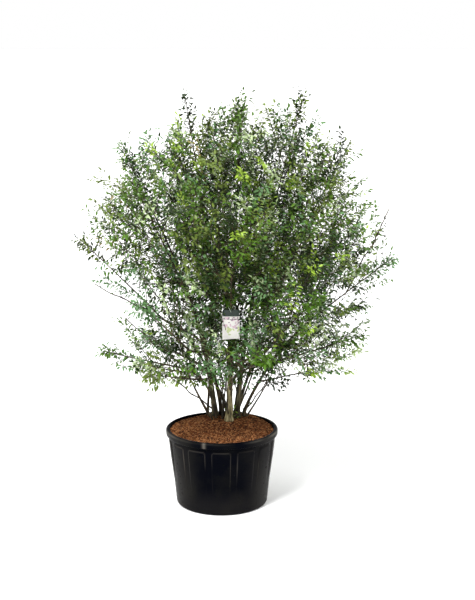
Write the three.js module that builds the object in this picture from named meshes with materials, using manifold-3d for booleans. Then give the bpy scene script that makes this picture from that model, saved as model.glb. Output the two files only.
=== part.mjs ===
// Potted serviceberry: a multi-stem shrub about 2.6 m high in a black nursery pot.
//
// Millimetres, +Z up. The origin is the centre of the pot's flat underside, +X is to the
// right and -Y is the front. Ten stems rise from one clump in the soil and fan out. Each
// stem, each bough and each mass of foliage is one closed body. A mass is a leader with side
// twigs and leaves fused on, and it keeps to its own cell of the crown.

import * as THREE from 'three';
import { mergeVertices } from 'three/addons/utils/BufferGeometryUtils.js';
import Module from 'manifold-3d';

const wasm = await Module();
wasm.setup();

// Clearance between touching pieces
const GAP = 0.3;

// Slivers finer than this are closed after a cut or a join
const SLIVER = 0.05;

// Pot
const POT_HEIGHT = 480;
const RIM_RADIUS = 350;
const RIM_BAND = 37;
const RIM_ROUND = 8;
const WALL_TOP_RADIUS = 328;
const BASE_RADIUS = 283;
const BASE_ROUND = 20;
const WALL = 6;
const FLOOR = 8;
const PANELS = 13;
const SIDES_PER_PANEL = 3;
const PANEL_SHARE = 0.77;
const PANEL_TOP = 418;
const PANEL_FOOT = 130;
const PANEL_RISE = 7;
const PANEL_BEVEL = 12;
const PANEL_ROOT = 2.5;
const PANEL_FOOT_RISE = 0.5;
const RIM_DRAFT = 2;
const LIP_SLOPE = 1;

// Soil under a mulch of fine bark chips, heaped round the clump
const SOIL_EDGE = 466;
const SOIL_TOP = 500;
const HEAP_X = 45;
const HEAP_Y = 140;
const HEAP_FLAT = 128;
const HEAP_SLOPE = 60;
const SOIL_RINGS = 6;

// Crown: the point that the limbs fan out from, and the rounded body of the foliage as rings
// of [height, middle x, radius], which tell its waist and its bulge
const FAN = new THREE.Vector3(45, 120, 455);
const CROWN_Y = 110;
const CROWN_RINGS = [
  [620, 0, 220],
  [720, 20, 380],
  [780, 0, 460],
  [850, 80, 660],
  [970, 80, 790],
  [1110, 200, 640],
  [1230, 180, 730],
  [1360, 110, 800],
  [1550, 130, 890],
  [1800, 50, 930],
  [1960, 50, 850],
  [2100, 60, 770],
  [2225, 70, 680],
  [2320, 80, 580],
  [2400, 100, 400],
  [2480, 130, 240],
  [2560, 140, 50],
];

// A mass's root leans less than its tip, and a low mass's much less
const ROOT_LEAN = 0.84;
const LOW_LEAN = 50;
const LOW_ROOT_LEAN = 0.7;

// Underside of the crown: lowest round the stems, higher further out and towards the front
const UNDER_HEIGHT = 680;
const UNDER_FRONT = 0.25;
const UNDER_RISE = 110;
const UNDER_NEAR = 220;
const UNDER_FAR = 420;
const SKIRT_HANG = 80;

// Limbs
const STEM_SIDES = 6;
const STEM_STEPS = 6;
const BOUGH_SIDES = 5;
const BOUGH_STEPS = 5;
const ROOT_FLARE = 0.45;
const FLARE_LENGTH = 45;
const STEM_TAPER = 0.8;
const TIP_RADIUS = 6.5;
const TIP_SHARE = 0.4;
const BOUGH_SHARE = 0.6;
const STEM_RISE = 0.12;
const BOUGH_RISE = 0.3;
const LIMB_SWING = 0.34;

// Foliage
const SEED = 3340;
const TWIG_SIDES = 3;
const LEADER_ROOT = 6.5;
const LEADER_END = 5;
const TWIG_SHARE = 0.5;
const TWIG_END = 2.4;
const END_SINK = 0.6;
const END_SPREAD = 0.1;
const LEADER_STEPS = 3;
const LEADER_ARCH = 0.05;
const SIDE_STEPS = 1;
const SIDE_TWIGS = 7;
const SIDE_FIRST = 0.1;
const SIDE_LAST = 0.86;
const SPREAD_ROOT = 1.15;
const SPREAD_TIP = 0.75;
const SIDE_REACH = 430;
const SIDE_SHORTENING = 0.4;
const SIZE_LEAST = 0.85;
const SIZE_RANGE = 0.3;
const LEAF_ROLL = 1.6;
const SIDE_ARCH = 0.08;
const SHORTER = 0.78;
const TRIES = 5;
const CELL_MARGIN = 4;
const LEAF_LENGTH = 200;
const LEAF_WIDTH = 110;
const LEAF_THICKNESS = 7;
const LEAF_WIDEST = -0.1;
const LEAF_PLACES = [0.3, 0.55, 0.8, 1];
const LEADER_LEAVES = [0.4, 0.72, 1];

// The tight, low masses have more and smaller leaves
const LOW_SITE = 1150;
const LOW_LEAF_SIZE = 0.62;
const LOW_LEAF_PLACES = [0.25, 0.43, 0.61, 0.79, 1];
const LOW_LEADER_LEAVES = [0.2, 0.36, 0.52, 0.68, 0.84, 1];
const LIMB_CLEARANCE = 1.5;

// Label: a plastic hang tag on a tie
const TAG_WIDTH = 104;
const TAG_HEIGHT = 136;
const TAG_HEAD_WIDTH = 98;
const TAG_HEAD = 40;
const TAG_THICKNESS = 1.6;
const TAG_CORNER = 6;
const TAG_CURVE_STEPS = 8;
const EYELET_RADIUS = 4.5;
const EYELET_DROP = 12;
const EYELET_REST = 0.1;
const TIE_RADIUS = 1.3;
const TIE_STEPS = 14;
const TIE_SIDES = 4;
const TIE_HALF_HEIGHT = 36;
const TIE_HALF_WIDTH = 21;
const TAG_PLACE = 0.975;
const TAG_BOUGH = 'bough_upper_front';
const VIEW_DEPTH = 900;
const TAG_CLEAR = 10;

// Stems: where the foot stands, its thickness, and the mass that the tip carries
const STEMS = [
  { name: 'stem_main', foot: [45, 62], girth: 44, mass: 'top_mid' },
  { name: 'stem_left', foot: [-45, 180], girth: 36, mass: 'upper_left' },
  { name: 'stem_left_twin', foot: [-6, 206], girth: 24, mass: 'upper_front_left' },
  { name: 'stem_slender', foot: [-92, 190], girth: 15, mass: 'top_left' },
  { name: 'stem_right', foot: [98, 140], girth: 32, mass: 'top_right' },
  { name: 'stem_right_low', foot: [138, 172], girth: 21, mass: 'mid_right' },
  { name: 'stem_back', foot: [56, 190], girth: 26, mass: 'upper_back' },
  { name: 'stem_back_left', foot: [32, 240], girth: 22, mass: 'mid_back_left' },
  { name: 'stem_back_right', foot: [100, 222], girth: 22, mass: 'mid_back_right' },
  { name: 'shoot_left', foot: [-38, 124], girth: 12, mass: 'skirt_left' },
];

// Masses: heading round the clump and lean from upright in degrees, how far the tip reaches
// from the fan point with its end leaf, and the share of that reach where the mass begins. One
// that no stem ends in hangs on a bough, or straight on a stem's side; `from` is where along
// the stem that is.
const MASSES = [
  { name: 'top_left', heading: 184, lean: 7.3, reach: 2150, root: 0.56 },
  { name: 'top_mid', heading: 50, lean: 3.5, reach: 2020, root: 0.54 },
  { name: 'top_right', heading: 356, lean: 12.4, reach: 2170, root: 0.54 },
  { name: 'upper_left', heading: 178, lean: 20.5, reach: 1930, root: 0.56 },
  { name: 'upper_front_left', heading: 226, lean: 26, reach: 1840, root: 0.54 },
  { name: 'upper_front', heading: 272, lean: 30, reach: 1700, root: 0.58, on: 'stem_main', from: 0.36 },
  { name: 'upper_front_right', heading: 322, lean: 26, reach: 1840, root: 0.54, on: 'stem_right', from: 0.5 },
  { name: 'upper_right', heading: 8, lean: 23, reach: 1990, root: 0.55, on: 'stem_right', from: 0.66 },
  { name: 'upper_back', heading: 92, lean: 22, reach: 1900, root: 0.54 },
  { name: 'mid_left', heading: 182, lean: 37.4, reach: 1555, root: 0.54, on: 'stem_left', from: 0.45 },
  { name: 'mid_front_left', heading: 236, lean: 44, reach: 1370, root: 0.54, on: 'stem_left_twin', from: 0.45 },
  { name: 'mid_front_right', heading: 304, lean: 43, reach: 1420, root: 0.52, on: 'stem_main', from: 0.24 },
  { name: 'mid_right', heading: 357, lean: 43, reach: 1540, root: 0.54 },
  { name: 'mid_back_right', heading: 48, lean: 42, reach: 1440, root: 0.54 },
  { name: 'mid_back', heading: 94, lean: 44, reach: 1340, root: 0.54, on: 'stem_back', from: 0.5 },
  { name: 'mid_back_left', heading: 140, lean: 42, reach: 1330, root: 0.54 },
  { name: 'low_left', heading: 184, lean: 57.4, reach: 975, root: 0.52, on: 'stem_left', from: 0.26 },
  { name: 'low_front_left', heading: 232, lean: 57, reach: 950, root: 0.5, on: 'stem_left_twin', from: 0.22 },
  { name: 'low_front', heading: 286, lean: 52, reach: 1080, root: 0.5, on: 'stem_main', from: 0.16 },
  { name: 'low_right', heading: 344, lean: 53, reach: 1120, root: 0.5, on: 'stem_right_low', from: 0.4 },
  { name: 'low_back_right', heading: 30, lean: 60, reach: 1000, root: 0.5, on: 'stem_back_right', from: 0.4 },
  { name: 'low_back', heading: 88, lean: 62, reach: 930, root: 0.5, on: 'stem_back', from: 0.22 },
  { name: 'low_back_left', heading: 136, lean: 60, reach: 980, root: 0.5, on: 'stem_back_left', from: 0.36 },
  { name: 'skirt_left', heading: 200, lean: 52, reach: 800, root: 0.58 },
  { name: 'skirt_right', heading: 338, lean: 55, reach: 820, root: 0.4, side: 'stem_right_low', from: 0.34 },
  { name: 'skirt_back', heading: 62, lean: 42, reach: 640, root: 0.4, side: 'stem_back_right', from: 0.24 },
  { name: 'core_left', heading: 216, lean: 35, reach: 760, root: 0.4, side: 'stem_left', from: 0.3 },
  { name: 'core_front', heading: 276, lean: 33, reach: 800, root: 0.4, side: 'stem_main', from: 0.31 },
  { name: 'core_right', heading: 334, lean: 35, reach: 760, root: 0.4, side: 'stem_right', from: 0.3 },
  { name: 'inner_left', heading: 196, lean: 20, reach: 1120, root: 0.5, side: 'stem_slender', from: 0.53 },
  { name: 'inner_front', heading: 290, lean: 16, reach: 1180, root: 0.5, side: 'stem_main', from: 0.5 },
  { name: 'inner_back', heading: 60, lean: 18, reach: 1120, root: 0.5, side: 'stem_back', from: 0.4 },
];

const UP = new THREE.Vector3(0, 0, 1);

// One finish for each kind of piece
const finish = (colour, roughness) =>
  new THREE.MeshStandardMaterial({ color: colour, roughness, metalness: 0 });
const POT_PLASTIC = finish(0x1c1b1d, 0.45);
const BARK_MULCH = finish(0x69421f, 0.95);
const STEM_BARK = finish(0x6a6649, 0.85);
const BOUGH_BARK = finish(0x5a4f42, 0.85);
const LEAF_GREENS = [0x495733, 0x66724f, 0x5a6b3c, 0x78a03c].map((colour) => finish(colour, 0.7));
const TAG_PLASTIC = finish(0xefeadf, 0.5);
const TIE_PLASTIC = finish(0xcfe0c4, 0.5);

// A repeatable stream of numbers from 0 to 1
function seededRandom(seed) {
  let state = seed >>> 0;
  return () => {
    state = (state + 0x6d2b79f5) >>> 0;
    let mixed = Math.imul(state ^ (state >>> 15), 1 | state);
    mixed = (mixed + Math.imul(mixed ^ (mixed >>> 7), 61 | mixed)) ^ mixed;
    return ((mixed ^ (mixed >>> 14)) >>> 0) / 4294967296;
  };
}

// Solids: three.js geometry into a body that can be joined and cut, and back

function toSolid(geometry) {
  const bare = geometry.clone();
  bare.deleteAttribute('normal');
  bare.deleteAttribute('uv');
  const merged = mergeVertices(bare, 1e-3);
  const index = merged.index.array;
  const corners = [];
  for (let i = 0; i < index.length; i += 3) {
    const [a, b, c] = [index[i], index[i + 1], index[i + 2]];
    if (a !== b && b !== c && c !== a) corners.push(a, b, c);
  }
  const mesh = new wasm.Mesh({
    numProp: 3,
    vertProperties: new Float32Array(merged.attributes.position.array),
    triVerts: new Uint32Array(corners),
  });
  return new wasm.Manifold(mesh);
}

function toGeometry(solid) {
  const mesh = solid.getMesh();
  const geometry = new THREE.BufferGeometry();
  geometry.setAttribute('position', new THREE.BufferAttribute(mesh.vertProperties, 3));
  geometry.setIndex(new THREE.BufferAttribute(mesh.triVerts, 1));
  geometry.computeVertexNormals();
  return geometry;
}

function joinAll(solids) {
  return solids.reduce((whole, piece) => whole.add(piece));
}

function touches(solid, other) {
  return !solid.intersect(other).isEmpty();
}

// The largest body of a solid, without loose scraps or slivers
function mainBody(solid) {
  const bodies = solid.simplify(SLIVER).decompose();
  bodies.sort((a, b) => b.volume() - a.volume());
  return bodies[0];
}

const plant = new THREE.Group();

function addPiece(name, solid, material) {
  const mesh = new THREE.Mesh(toGeometry(solid), material);
  mesh.name = name;
  plant.add(mesh);
}

// A lathe turned about +Z from [radius, height] pairs
function turned(profile, sides) {
  const points = profile.map(([radius, height]) => new THREE.Vector2(radius, height));
  const geometry = new THREE.LatheGeometry(points, sides);
  geometry.rotateX(Math.PI / 2);
  return geometry;
}

// Pot

const POT_SIDES = PANELS * SIDES_PER_PANEL;

function wallRadius(height) {
  const lipUnderside = POT_HEIGHT - RIM_BAND;
  return BASE_RADIUS + ((WALL_TOP_RADIUS - BASE_RADIUS) * height) / lipUnderside;
}

function innerRadius(height) {
  return wallRadius(height) - WALL;
}

function potShell() {
  const band = POT_HEIGHT - RIM_BAND;
  const profile = [
    [0, 0],
    [BASE_RADIUS - BASE_ROUND, 0],
    [wallRadius(BASE_ROUND), BASE_ROUND],
    [wallRadius(band), band],
    [RIM_RADIUS - RIM_DRAFT, band],
    [RIM_RADIUS, POT_HEIGHT - RIM_ROUND],
    [RIM_RADIUS - RIM_ROUND, POT_HEIGHT],
    [innerRadius(POT_HEIGHT), POT_HEIGHT - LIP_SLOPE],
    [innerRadius(FLOOR), FLOOR],
    [0, FLOOR],
  ];
  return toSolid(turned(profile, POT_SIDES));
}

// Raised panels that stand out of the wall below the rim and fade towards the foot
function potPanels() {
  const skirt = toSolid(turned([
    [wallRadius(PANEL_FOOT) - PANEL_ROOT, PANEL_FOOT],
    [wallRadius(PANEL_FOOT) + PANEL_FOOT_RISE, PANEL_FOOT],
    [wallRadius(PANEL_TOP - PANEL_BEVEL) + PANEL_RISE, PANEL_TOP - PANEL_BEVEL],
    [wallRadius(PANEL_TOP) - PANEL_ROOT, PANEL_TOP],
    [wallRadius(PANEL_FOOT) - PANEL_ROOT, PANEL_FOOT],
  ], POT_SIDES));
  const pitch = (2 * Math.PI) / PANELS;
  const half = (pitch * PANEL_SHARE) / 2;
  const inner = BASE_RADIUS - BASE_ROUND;
  const outline = [];
  for (let k = 0; k < PANELS; k += 1) {
    const middle = -Math.PI / 2 + k * pitch;
    const corners = [[inner, -half], [RIM_RADIUS, -half], [RIM_RADIUS, half], [inner, half]];
    for (const [radius, turn] of corners) {
      const angle = middle + turn;
      outline.push(new THREE.Vector2(radius * Math.cos(angle), radius * Math.sin(angle)));
    }
  }
  const fan = new THREE.Shape(outline);
  const blades = new THREE.ExtrudeGeometry(fan, { depth: POT_HEIGHT, bevelEnabled: false });
  return skirt.intersect(toSolid(blades));
}

function heapHeight(x, y) {
  const away = Math.hypot(x - HEAP_X, y - HEAP_Y);
  const outside = Math.max(0, away - HEAP_FLAT) / HEAP_SLOPE;
  return (SOIL_TOP - SOIL_EDGE) * Math.exp(-outside * outside);
}

// The soil fills the pot to just below the rim and is level where the stems stand
function soilFill() {
  const floor = FLOOR + GAP;
  const edge = innerRadius(SOIL_EDGE) - GAP;
  const profile = [[0, floor], [innerRadius(floor) - 2 * GAP, floor], [edge - GAP, SOIL_EDGE]];
  for (let k = 1; k <= SOIL_RINGS; k += 1) {
    profile.push([edge * (1 - k / SOIL_RINGS), SOIL_EDGE]);
  }
  const geometry = turned(profile, POT_SIDES);
  const place = geometry.attributes.position;
  for (let i = 0; i < place.count; i += 1) {
    const onTop = place.getZ(i) > SOIL_EDGE - 1;
    const inside = Math.hypot(place.getX(i), place.getY(i)) < edge - 2;
    if (onTop && inside) place.setZ(i, SOIL_EDGE + heapHeight(place.getX(i), place.getY(i)));
  }
  return toSolid(geometry);
}

// Limbs: a cylinder of unit size bent along a curve, with a taper

function limb(curve, radiusAt, sides, steps) {
  return { curve, radiusAt, sides, steps };
}

function limbSolid({ curve, radiusAt, sides, steps }, extra = 0) {
  const geometry = new THREE.CylinderGeometry(1, 1, 1, sides, steps);
  const frames = curve.computeFrenetFrames(steps, false);
  const length = curve.getLength();
  const place = geometry.attributes.position;
  const point = new THREE.Vector3();
  for (let i = 0; i < place.count; i += 1) {
    const ring = Math.round((place.getY(i) + 0.5) * steps);
    const along = ring / steps;
    const radius = radiusAt(along, length) + extra;
    point.copy(curve.getPointAt(along));
    point.addScaledVector(frames.normals[ring], place.getX(i) * radius);
    point.addScaledVector(frames.binormals[ring], -place.getZ(i) * radius);
    place.setXYZ(i, point.x, point.y, point.z);
  }
  return toSolid(geometry);
}

// The point and the run of a limb's straight stretches, where pieces are sunk into it
function onAxis({ curve, steps }, along) {
  const stretch = Math.min(Math.floor(along * steps), steps - 1);
  const from = curve.getPointAt(stretch / steps);
  const to = curve.getPointAt((stretch + 1) / steps);
  const point = from.clone().lerp(to, along * steps - stretch);
  return { point, run: to.sub(from).normalize() };
}

// The direction square to one of a three-sided limb's faces; ranks follow each other round
function faceDirection({ curve, steps }, along, rank) {
  const stretch = Math.min(Math.floor(along * steps), steps - 1);
  const frames = curve.computeFrenetFrames(steps, false);
  const turn = ((2 * rank + 1) * Math.PI) / TWIG_SIDES;
  const out = frames.normals[stretch].clone().multiplyScalar(Math.sin(turn));
  return out.addScaledVector(frames.binormals[stretch], -Math.cos(turn));
}

function taper(rootRadius, tipRadius) {
  return (along) => THREE.MathUtils.lerp(rootRadius, tipRadius, along);
}

function flaredTaper(rootRadius, tipRadius) {
  return (along, length) => {
    const flare = 1 + ROOT_FLARE * Math.exp((-along * length) / FLARE_LENGTH);
    return THREE.MathUtils.lerp(rootRadius, tipRadius, along ** STEM_TAPER) * flare;
  };
}

function fanPoint(heading, lean, distance) {
  const around = THREE.MathUtils.degToRad(heading);
  const off = THREE.MathUtils.degToRad(lean);
  const flat = Math.sin(off) * distance;
  const rise = Math.cos(off) * distance;
  return new THREE.Vector3(Math.cos(around) * flat, Math.sin(around) * flat, rise).add(FAN);
}

// Where each mass begins and ends, which way it sets off, and the centre of its cell
function layOut(mass, base) {
  mass.base = base;
  mass.tip = fanPoint(mass.heading, mass.lean, mass.reach - LEAF_LENGTH);
  mass.middle = base.clone().lerp(mass.tip, 0.5);
  mass.site = mass.middle.clone();
  mass.middle.addScaledVector(UP, base.distanceTo(mass.tip) * LEADER_ARCH);
  mass.course = mass.middle.clone().sub(base).normalize();
}

for (const mass of MASSES) {
  const share = mass.lean > LOW_LEAN ? LOW_ROOT_LEAN : ROOT_LEAN;
  layOut(mass, fanPoint(mass.heading, mass.lean * share, mass.reach * mass.root));
}

const massNamed = new Map(MASSES.map((mass) => [mass.name, mass]));
const limbs = new Map();

// A stem stands upright on its foot, then bends out towards its mass
function stemLimb(stem) {
  const mass = massNamed.get(stem.mass);
  const foot = new THREE.Vector3(stem.foot[0], stem.foot[1], SOIL_TOP + GAP);
  const length = foot.distanceTo(mass.base);
  const rise = foot.clone().addScaledVector(UP, length * STEM_RISE);
  const before = mass.base.clone().addScaledVector(mass.course, -length * LIMB_SWING);
  const curve = new THREE.CubicBezierCurve3(foot, rise, before, mass.base);
  const tip = Math.min(TIP_RADIUS, stem.girth * TIP_SHARE);
  return limb(curve, flaredTaper(stem.girth / 2, tip), STEM_SIDES, STEM_STEPS);
}

// A bough leaves its stem along the stem's own run and bends out to its mass
function boughCurve(mass, stem) {
  const start = stem.curve.getPointAt(mass.from);
  const run = stem.curve.getTangentAt(mass.from);
  const length = start.distanceTo(mass.base);
  const leaving = start.clone().addScaledVector(run, length * BOUGH_RISE);
  const before = mass.base.clone().addScaledVector(mass.course, -length * LIMB_SWING);
  return new THREE.CubicBezierCurve3(start, leaving, before, mass.base);
}

function boughLimb(mass, stem) {
  const curve = boughCurve(mass, stem);
  const root = stem.radiusAt(mass.from, stem.curve.getLength()) * BOUGH_SHARE;
  return limb(curve, taper(Math.max(root, TIP_RADIUS), TIP_RADIUS), BOUGH_SIDES, BOUGH_STEPS);
}

// Each limb is cut clear of those before it
const limbSolids = [];

function addLimb(name, shape, material) {
  let solid = limbSolid(shape);
  for (const earlier of limbs.values()) {
    const body = limbSolid(earlier, GAP);
    if (touches(solid, body)) solid = solid.subtract(body);
  }
  limbs.set(name, shape);
  limbSolids.push(limbSolid(shape, LIMB_CLEARANCE));
  addPiece(name, mainBody(solid), material);
}

// Label and its tie

// Where the tag hangs: the point of its bough that the tie goes round, and how high the
// sloping bough's bark stands straight above that point
function tagHook() {
  const bough = limbs.get(TAG_BOUGH);
  const { point, run } = onAxis(bough, TAG_PLACE);
  return { point, lift: bough.radiusAt(TAG_PLACE) / Math.hypot(run.x, run.y) };
}

// The tie is a loop that crosses over the bough and, turned a quarter, goes through the eyelet
function tieSolid(hook) {
  const top = hook.point.z + hook.lift + TIE_RADIUS + GAP;
  const centre = new THREE.Vector3(hook.point.x, hook.point.y, top - TIE_HALF_HEIGHT);
  const geometry = new THREE.TorusGeometry(1, TIE_RADIUS, TIE_SIDES, TIE_STEPS);
  const place = geometry.attributes.position;
  const path = (turn) => {
    const twist = ((1 - Math.cos(turn)) / 2) * (Math.PI / 2);
    const flat = Math.sin(turn) * TIE_HALF_WIDTH;
    const offset = new THREE.Vector3(
      Math.cos(twist) * flat,
      Math.sin(twist) * flat,
      Math.cos(turn) * TIE_HALF_HEIGHT,
    );
    return offset.add(centre);
  };
  const point = new THREE.Vector3();
  for (let i = 0; i < place.count; i += 1) {
    const column = i % (TIE_STEPS + 1);
    const row = Math.floor(i / (TIE_STEPS + 1));
    const turn = ((column % TIE_STEPS) / TIE_STEPS) * 2 * Math.PI;
    const roll = ((row % TIE_SIDES) / TIE_SIDES) * 2 * Math.PI;
    const here = path(turn);
    const run = path(turn + 0.01).sub(path(turn - 0.01)).normalize();
    const side = new THREE.Vector3().crossVectors(run, here.clone().sub(centre)).normalize();
    const out = new THREE.Vector3().crossVectors(side, run);
    point.copy(here);
    point.addScaledVector(out, Math.cos(roll) * TIE_RADIUS);
    point.addScaledVector(side, -Math.sin(roll) * TIE_RADIUS);
    place.setXYZ(i, point.x, point.y, point.z);
  }
  const solid = toSolid(geometry);
  return { solid, bottom: centre.z - TIE_HALF_HEIGHT };
}

// The tag faces the front: a green head with the eyelet, over a slightly wider card
function tagSolid(hook, tieBottom) {
  const top = EYELET_DROP;
  const shoulder = top - TAG_HEAD;
  const foot = shoulder - TAG_HEIGHT;
  const head = TAG_HEAD_WIDTH / 2;
  const card = TAG_WIDTH / 2;
  const outline = new THREE.Shape();
  outline.moveTo(-card + TAG_CORNER, foot);
  outline.lineTo(card - TAG_CORNER, foot);
  outline.lineTo(card, foot + TAG_CORNER);
  outline.lineTo(card, shoulder);
  outline.lineTo(head, shoulder);
  outline.lineTo(head, top - TAG_CORNER);
  outline.lineTo(head - TAG_CORNER, top);
  outline.lineTo(-head + TAG_CORNER, top);
  outline.lineTo(-head, top - TAG_CORNER);
  outline.lineTo(-head, shoulder);
  outline.lineTo(-card, shoulder);
  outline.lineTo(-card, foot + TAG_CORNER);
  outline.closePath();
  const eyelet = new THREE.Path();
  eyelet.absarc(0, 0, EYELET_RADIUS, 0, 2 * Math.PI, true);
  outline.holes.push(eyelet);
  const geometry = new THREE.ExtrudeGeometry(outline, {
    depth: TAG_THICKNESS,
    bevelEnabled: false,
    curveSegments: TAG_CURVE_STEPS,
  });
  geometry.translate(0, 0, -TAG_THICKNESS / 2);
  geometry.rotateX(Math.PI / 2);
  const hang = tieBottom - TIE_RADIUS - GAP + EYELET_RADIUS;
  geometry.translate(hook.point.x, hook.point.y, hang - EYELET_RADIUS * EYELET_REST);
  return toSolid(geometry);
}

// The space in front of the tag that the foliage leaves open
function tagView(hook) {
  const width = TAG_WIDTH + 2 * TAG_CLEAR;
  const height = 2 * TIE_HALF_HEIGHT + TAG_HEAD + TAG_HEIGHT + 2 * TAG_CLEAR;
  const view = new THREE.BoxGeometry(width, VIEW_DEPTH, height);
  const top = hook.point.z + 2 * TAG_CLEAR;
  view.translate(hook.point.x, hook.point.y + TAG_CLEAR - VIEW_DEPTH / 2, top - height / 2);
  return toSolid(view);
}

// Foliage

// True where a point lies in the mass's own cell, at least CELL_MARGIN from its sides
function inCell(mass, point) {
  const own = point.distanceToSquared(mass.site);
  return MASSES.every((other) => {
    if (other === mass) return true;
    const spread = 2 * mass.site.distanceTo(other.site);
    return (point.distanceToSquared(other.site) - own) / spread > CELL_MARGIN;
  });
}

// A point is in the crown's body where it lies inside the ring at its height
function inCrown(point) {
  const above = CROWN_RINGS.findIndex(([height]) => height > point.z);
  if (above < 1) return false;
  const [low, high] = [CROWN_RINGS[above - 1], CROWN_RINGS[above]];
  const share = (point.z - low[0]) / (high[0] - low[0]);
  const middle = THREE.MathUtils.lerp(low[1], high[1], share);
  const radius = THREE.MathUtils.lerp(low[2], high[2], share);
  return Math.hypot(point.x - middle, point.y - CROWN_Y) < radius;
}

function aboveUnderside(mass, point) {
  const away = Math.hypot(point.x - FAN.x, point.y - FAN.y);
  const rise = UNDER_RISE * THREE.MathUtils.smoothstep(away, UNDER_NEAR, UNDER_FAR);
  const hang = mass.name.startsWith('skirt') ? SKIRT_HANG : 0;
  return point.z > UNDER_HEIGHT + UNDER_FRONT * (FAN.y - point.y) + rise - hang;
}

// A unit vector square to a direction, turned about it from the level
function squareTo(direction, turn) {
  const level = new THREE.Vector3().crossVectors(direction, UP);
  if (level.lengthSq() < 1e-6) level.set(1, 0, 0);
  level.normalize();
  const other = new THREE.Vector3().crossVectors(level, direction);
  return level.multiplyScalar(Math.cos(turn)).addScaledVector(other, Math.sin(turn));
}

// The leader sets off from its bough's tip, or from inside the stem that it is cut clear of
function leaderLimb(mass) {
  const start = mass.side ? mass.base : mass.base.clone().addScaledVector(mass.course, GAP);
  const curve = new THREE.QuadraticBezierCurve3(start, mass.middle, mass.tip);
  return limb(curve, taper(LEADER_ROOT, LEADER_END), TWIG_SIDES, LEADER_STEPS);
}

function sideLimb(start, direction, length, rootRadius) {
  const middle = start.clone().addScaledVector(direction, length * 0.5);
  const end = start.clone().addScaledVector(direction, length);
  end.addScaledVector(UP, length * SIDE_ARCH);
  const curve = new THREE.QuadraticBezierCurve3(start, middle, end);
  return limb(curve, taper(rootRadius, TWIG_END), TWIG_SIDES, SIDE_STEPS);
}

// A leaf is a flat octahedron, widest towards its root, which is sunk into the twig
function leafSolid(root, direction, roll, size, sink) {
  const length = LEAF_LENGTH * size;
  const width = LEAF_WIDTH * size;
  const across = squareTo(direction, roll);
  const normal = new THREE.Vector3().crossVectors(direction, across);
  const centre = root.clone().addScaledVector(direction, length / 2 - sink);
  const geometry = new THREE.OctahedronGeometry(1);
  const place = geometry.attributes.position;
  for (let i = 0; i < place.count; i += 1) {
    if (Math.abs(place.getX(i)) < 0.5) place.setX(i, LEAF_WIDEST);
  }
  const frame = new THREE.Matrix4().makeBasis(
    direction.clone().multiplyScalar(length / 2),
    across.multiplyScalar(width / 2),
    normal.multiplyScalar(LEAF_THICKNESS / 2),
  );
  frame.setPosition(centre);
  geometry.applyMatrix4(frame);
  return { solid: toSolid(geometry), geometry };
}

function cornersOf(geometry) {
  const place = geometry.attributes.position;
  const corner = (_, i) => new THREE.Vector3().fromBufferAttribute(place, i);
  return Array.from({ length: place.count }, corner);
}

// Grows one mass: a leader, side twigs at the golden angle, and leaves along them all
function growMass(mass, leader, random, obstacles) {
  const free = (solid) => !obstacles.some((obstacle) => touches(solid, obstacle));
  const low = mass.site.z < LOW_SITE;
  const leafSize = low ? LOW_LEAF_SIZE : 1;
  const leafPlaces = low ? LOW_LEAF_PLACES : LEAF_PLACES;
  const leaderLeaves = low ? LOW_LEADER_LEAVES : LEADER_LEAVES;
  const stems = [limbSolid(leader)];
  const leaves = [];

  const addLeaf = (twig, twigSolid, along, rank) => {
    const { point: root, run } = onAxis(twig, along);
    const atEnd = along === 1;
    const sink = atEnd ? twig.radiusAt(along) * END_SINK : 0;
    const size = leafSize * (SIZE_LEAST + SIZE_RANGE * random());
    const roll = (random() - 0.5) * LEAF_ROLL;
    for (const swing of [0, 1, 2]) {
      const side = faceDirection(twig, along, rank + swing);
      const direction = run.clone().addScaledVector(side, atEnd ? END_SPREAD : 1).normalize();
      const leaf = leafSolid(root, direction, roll, size, sink);
      const kept = cornersOf(leaf.geometry).every((corner) => inCell(mass, corner)
        && aboveUnderside(mass, corner) && (twig === leader || inCrown(corner)));
      const near = [...stems, ...leaves].filter((solid) => solid !== twigSolid);
      if (kept && free(leaf.solid) && !near.some((solid) => touches(leaf.solid, solid))) {
        leaves.push(leaf.solid);
        return;
      }
    }
  };

  for (let k = 0; k < SIDE_TWIGS; k += 1) {
    const along = THREE.MathUtils.lerp(SIDE_FIRST, SIDE_LAST, k / (SIDE_TWIGS - 1));
    const { point: start, run } = onAxis(leader, along);
    const spread = THREE.MathUtils.lerp(SPREAD_ROOT, SPREAD_TIP, along);
    const direction = faceDirection(leader, along, k).multiplyScalar(Math.sin(spread));
    direction.addScaledVector(run, Math.cos(spread)).normalize();
    let length = SIDE_REACH * (1 - SIDE_SHORTENING * along);
    length *= SIZE_LEAST + SIZE_RANGE * random();
    const rank = Math.floor(random() * TWIG_SIDES);
    for (let attempt = 0; attempt < TRIES; attempt += 1) {
      const twig = sideLimb(start, direction, length, leader.radiusAt(along) * TWIG_SHARE);
      const solid = limbSolid(twig);
      const spots = [0.5, 1].map((share) => twig.curve.getPointAt(share));
      const kept = spots.every((spot) => inCell(mass, spot) && inCrown(spot)
        && aboveUnderside(mass, spot));
      if (kept && free(solid)) {
        stems.push(solid);
        leafPlaces.forEach((place, i) => addLeaf(twig, solid, place, rank + i));
        break;
      }
      length *= SHORTER;
    }
  }
  leaderLeaves.forEach((place, i) => addLeaf(leader, stems[0], place, i));
  return joinAll([...stems, ...leaves]);
}

addPiece('pot', potShell().add(potPanels()), POT_PLASTIC);
addPiece('mulch', soilFill(), BARK_MULCH);
for (const stem of STEMS) addLimb(stem.name, stemLimb(stem), STEM_BARK);
for (const mass of MASSES.filter((each) => each.on)) {
  addLimb(`bough_${mass.name}`, boughLimb(mass, limbs.get(mass.on)), BOUGH_BARK);
}

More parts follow.
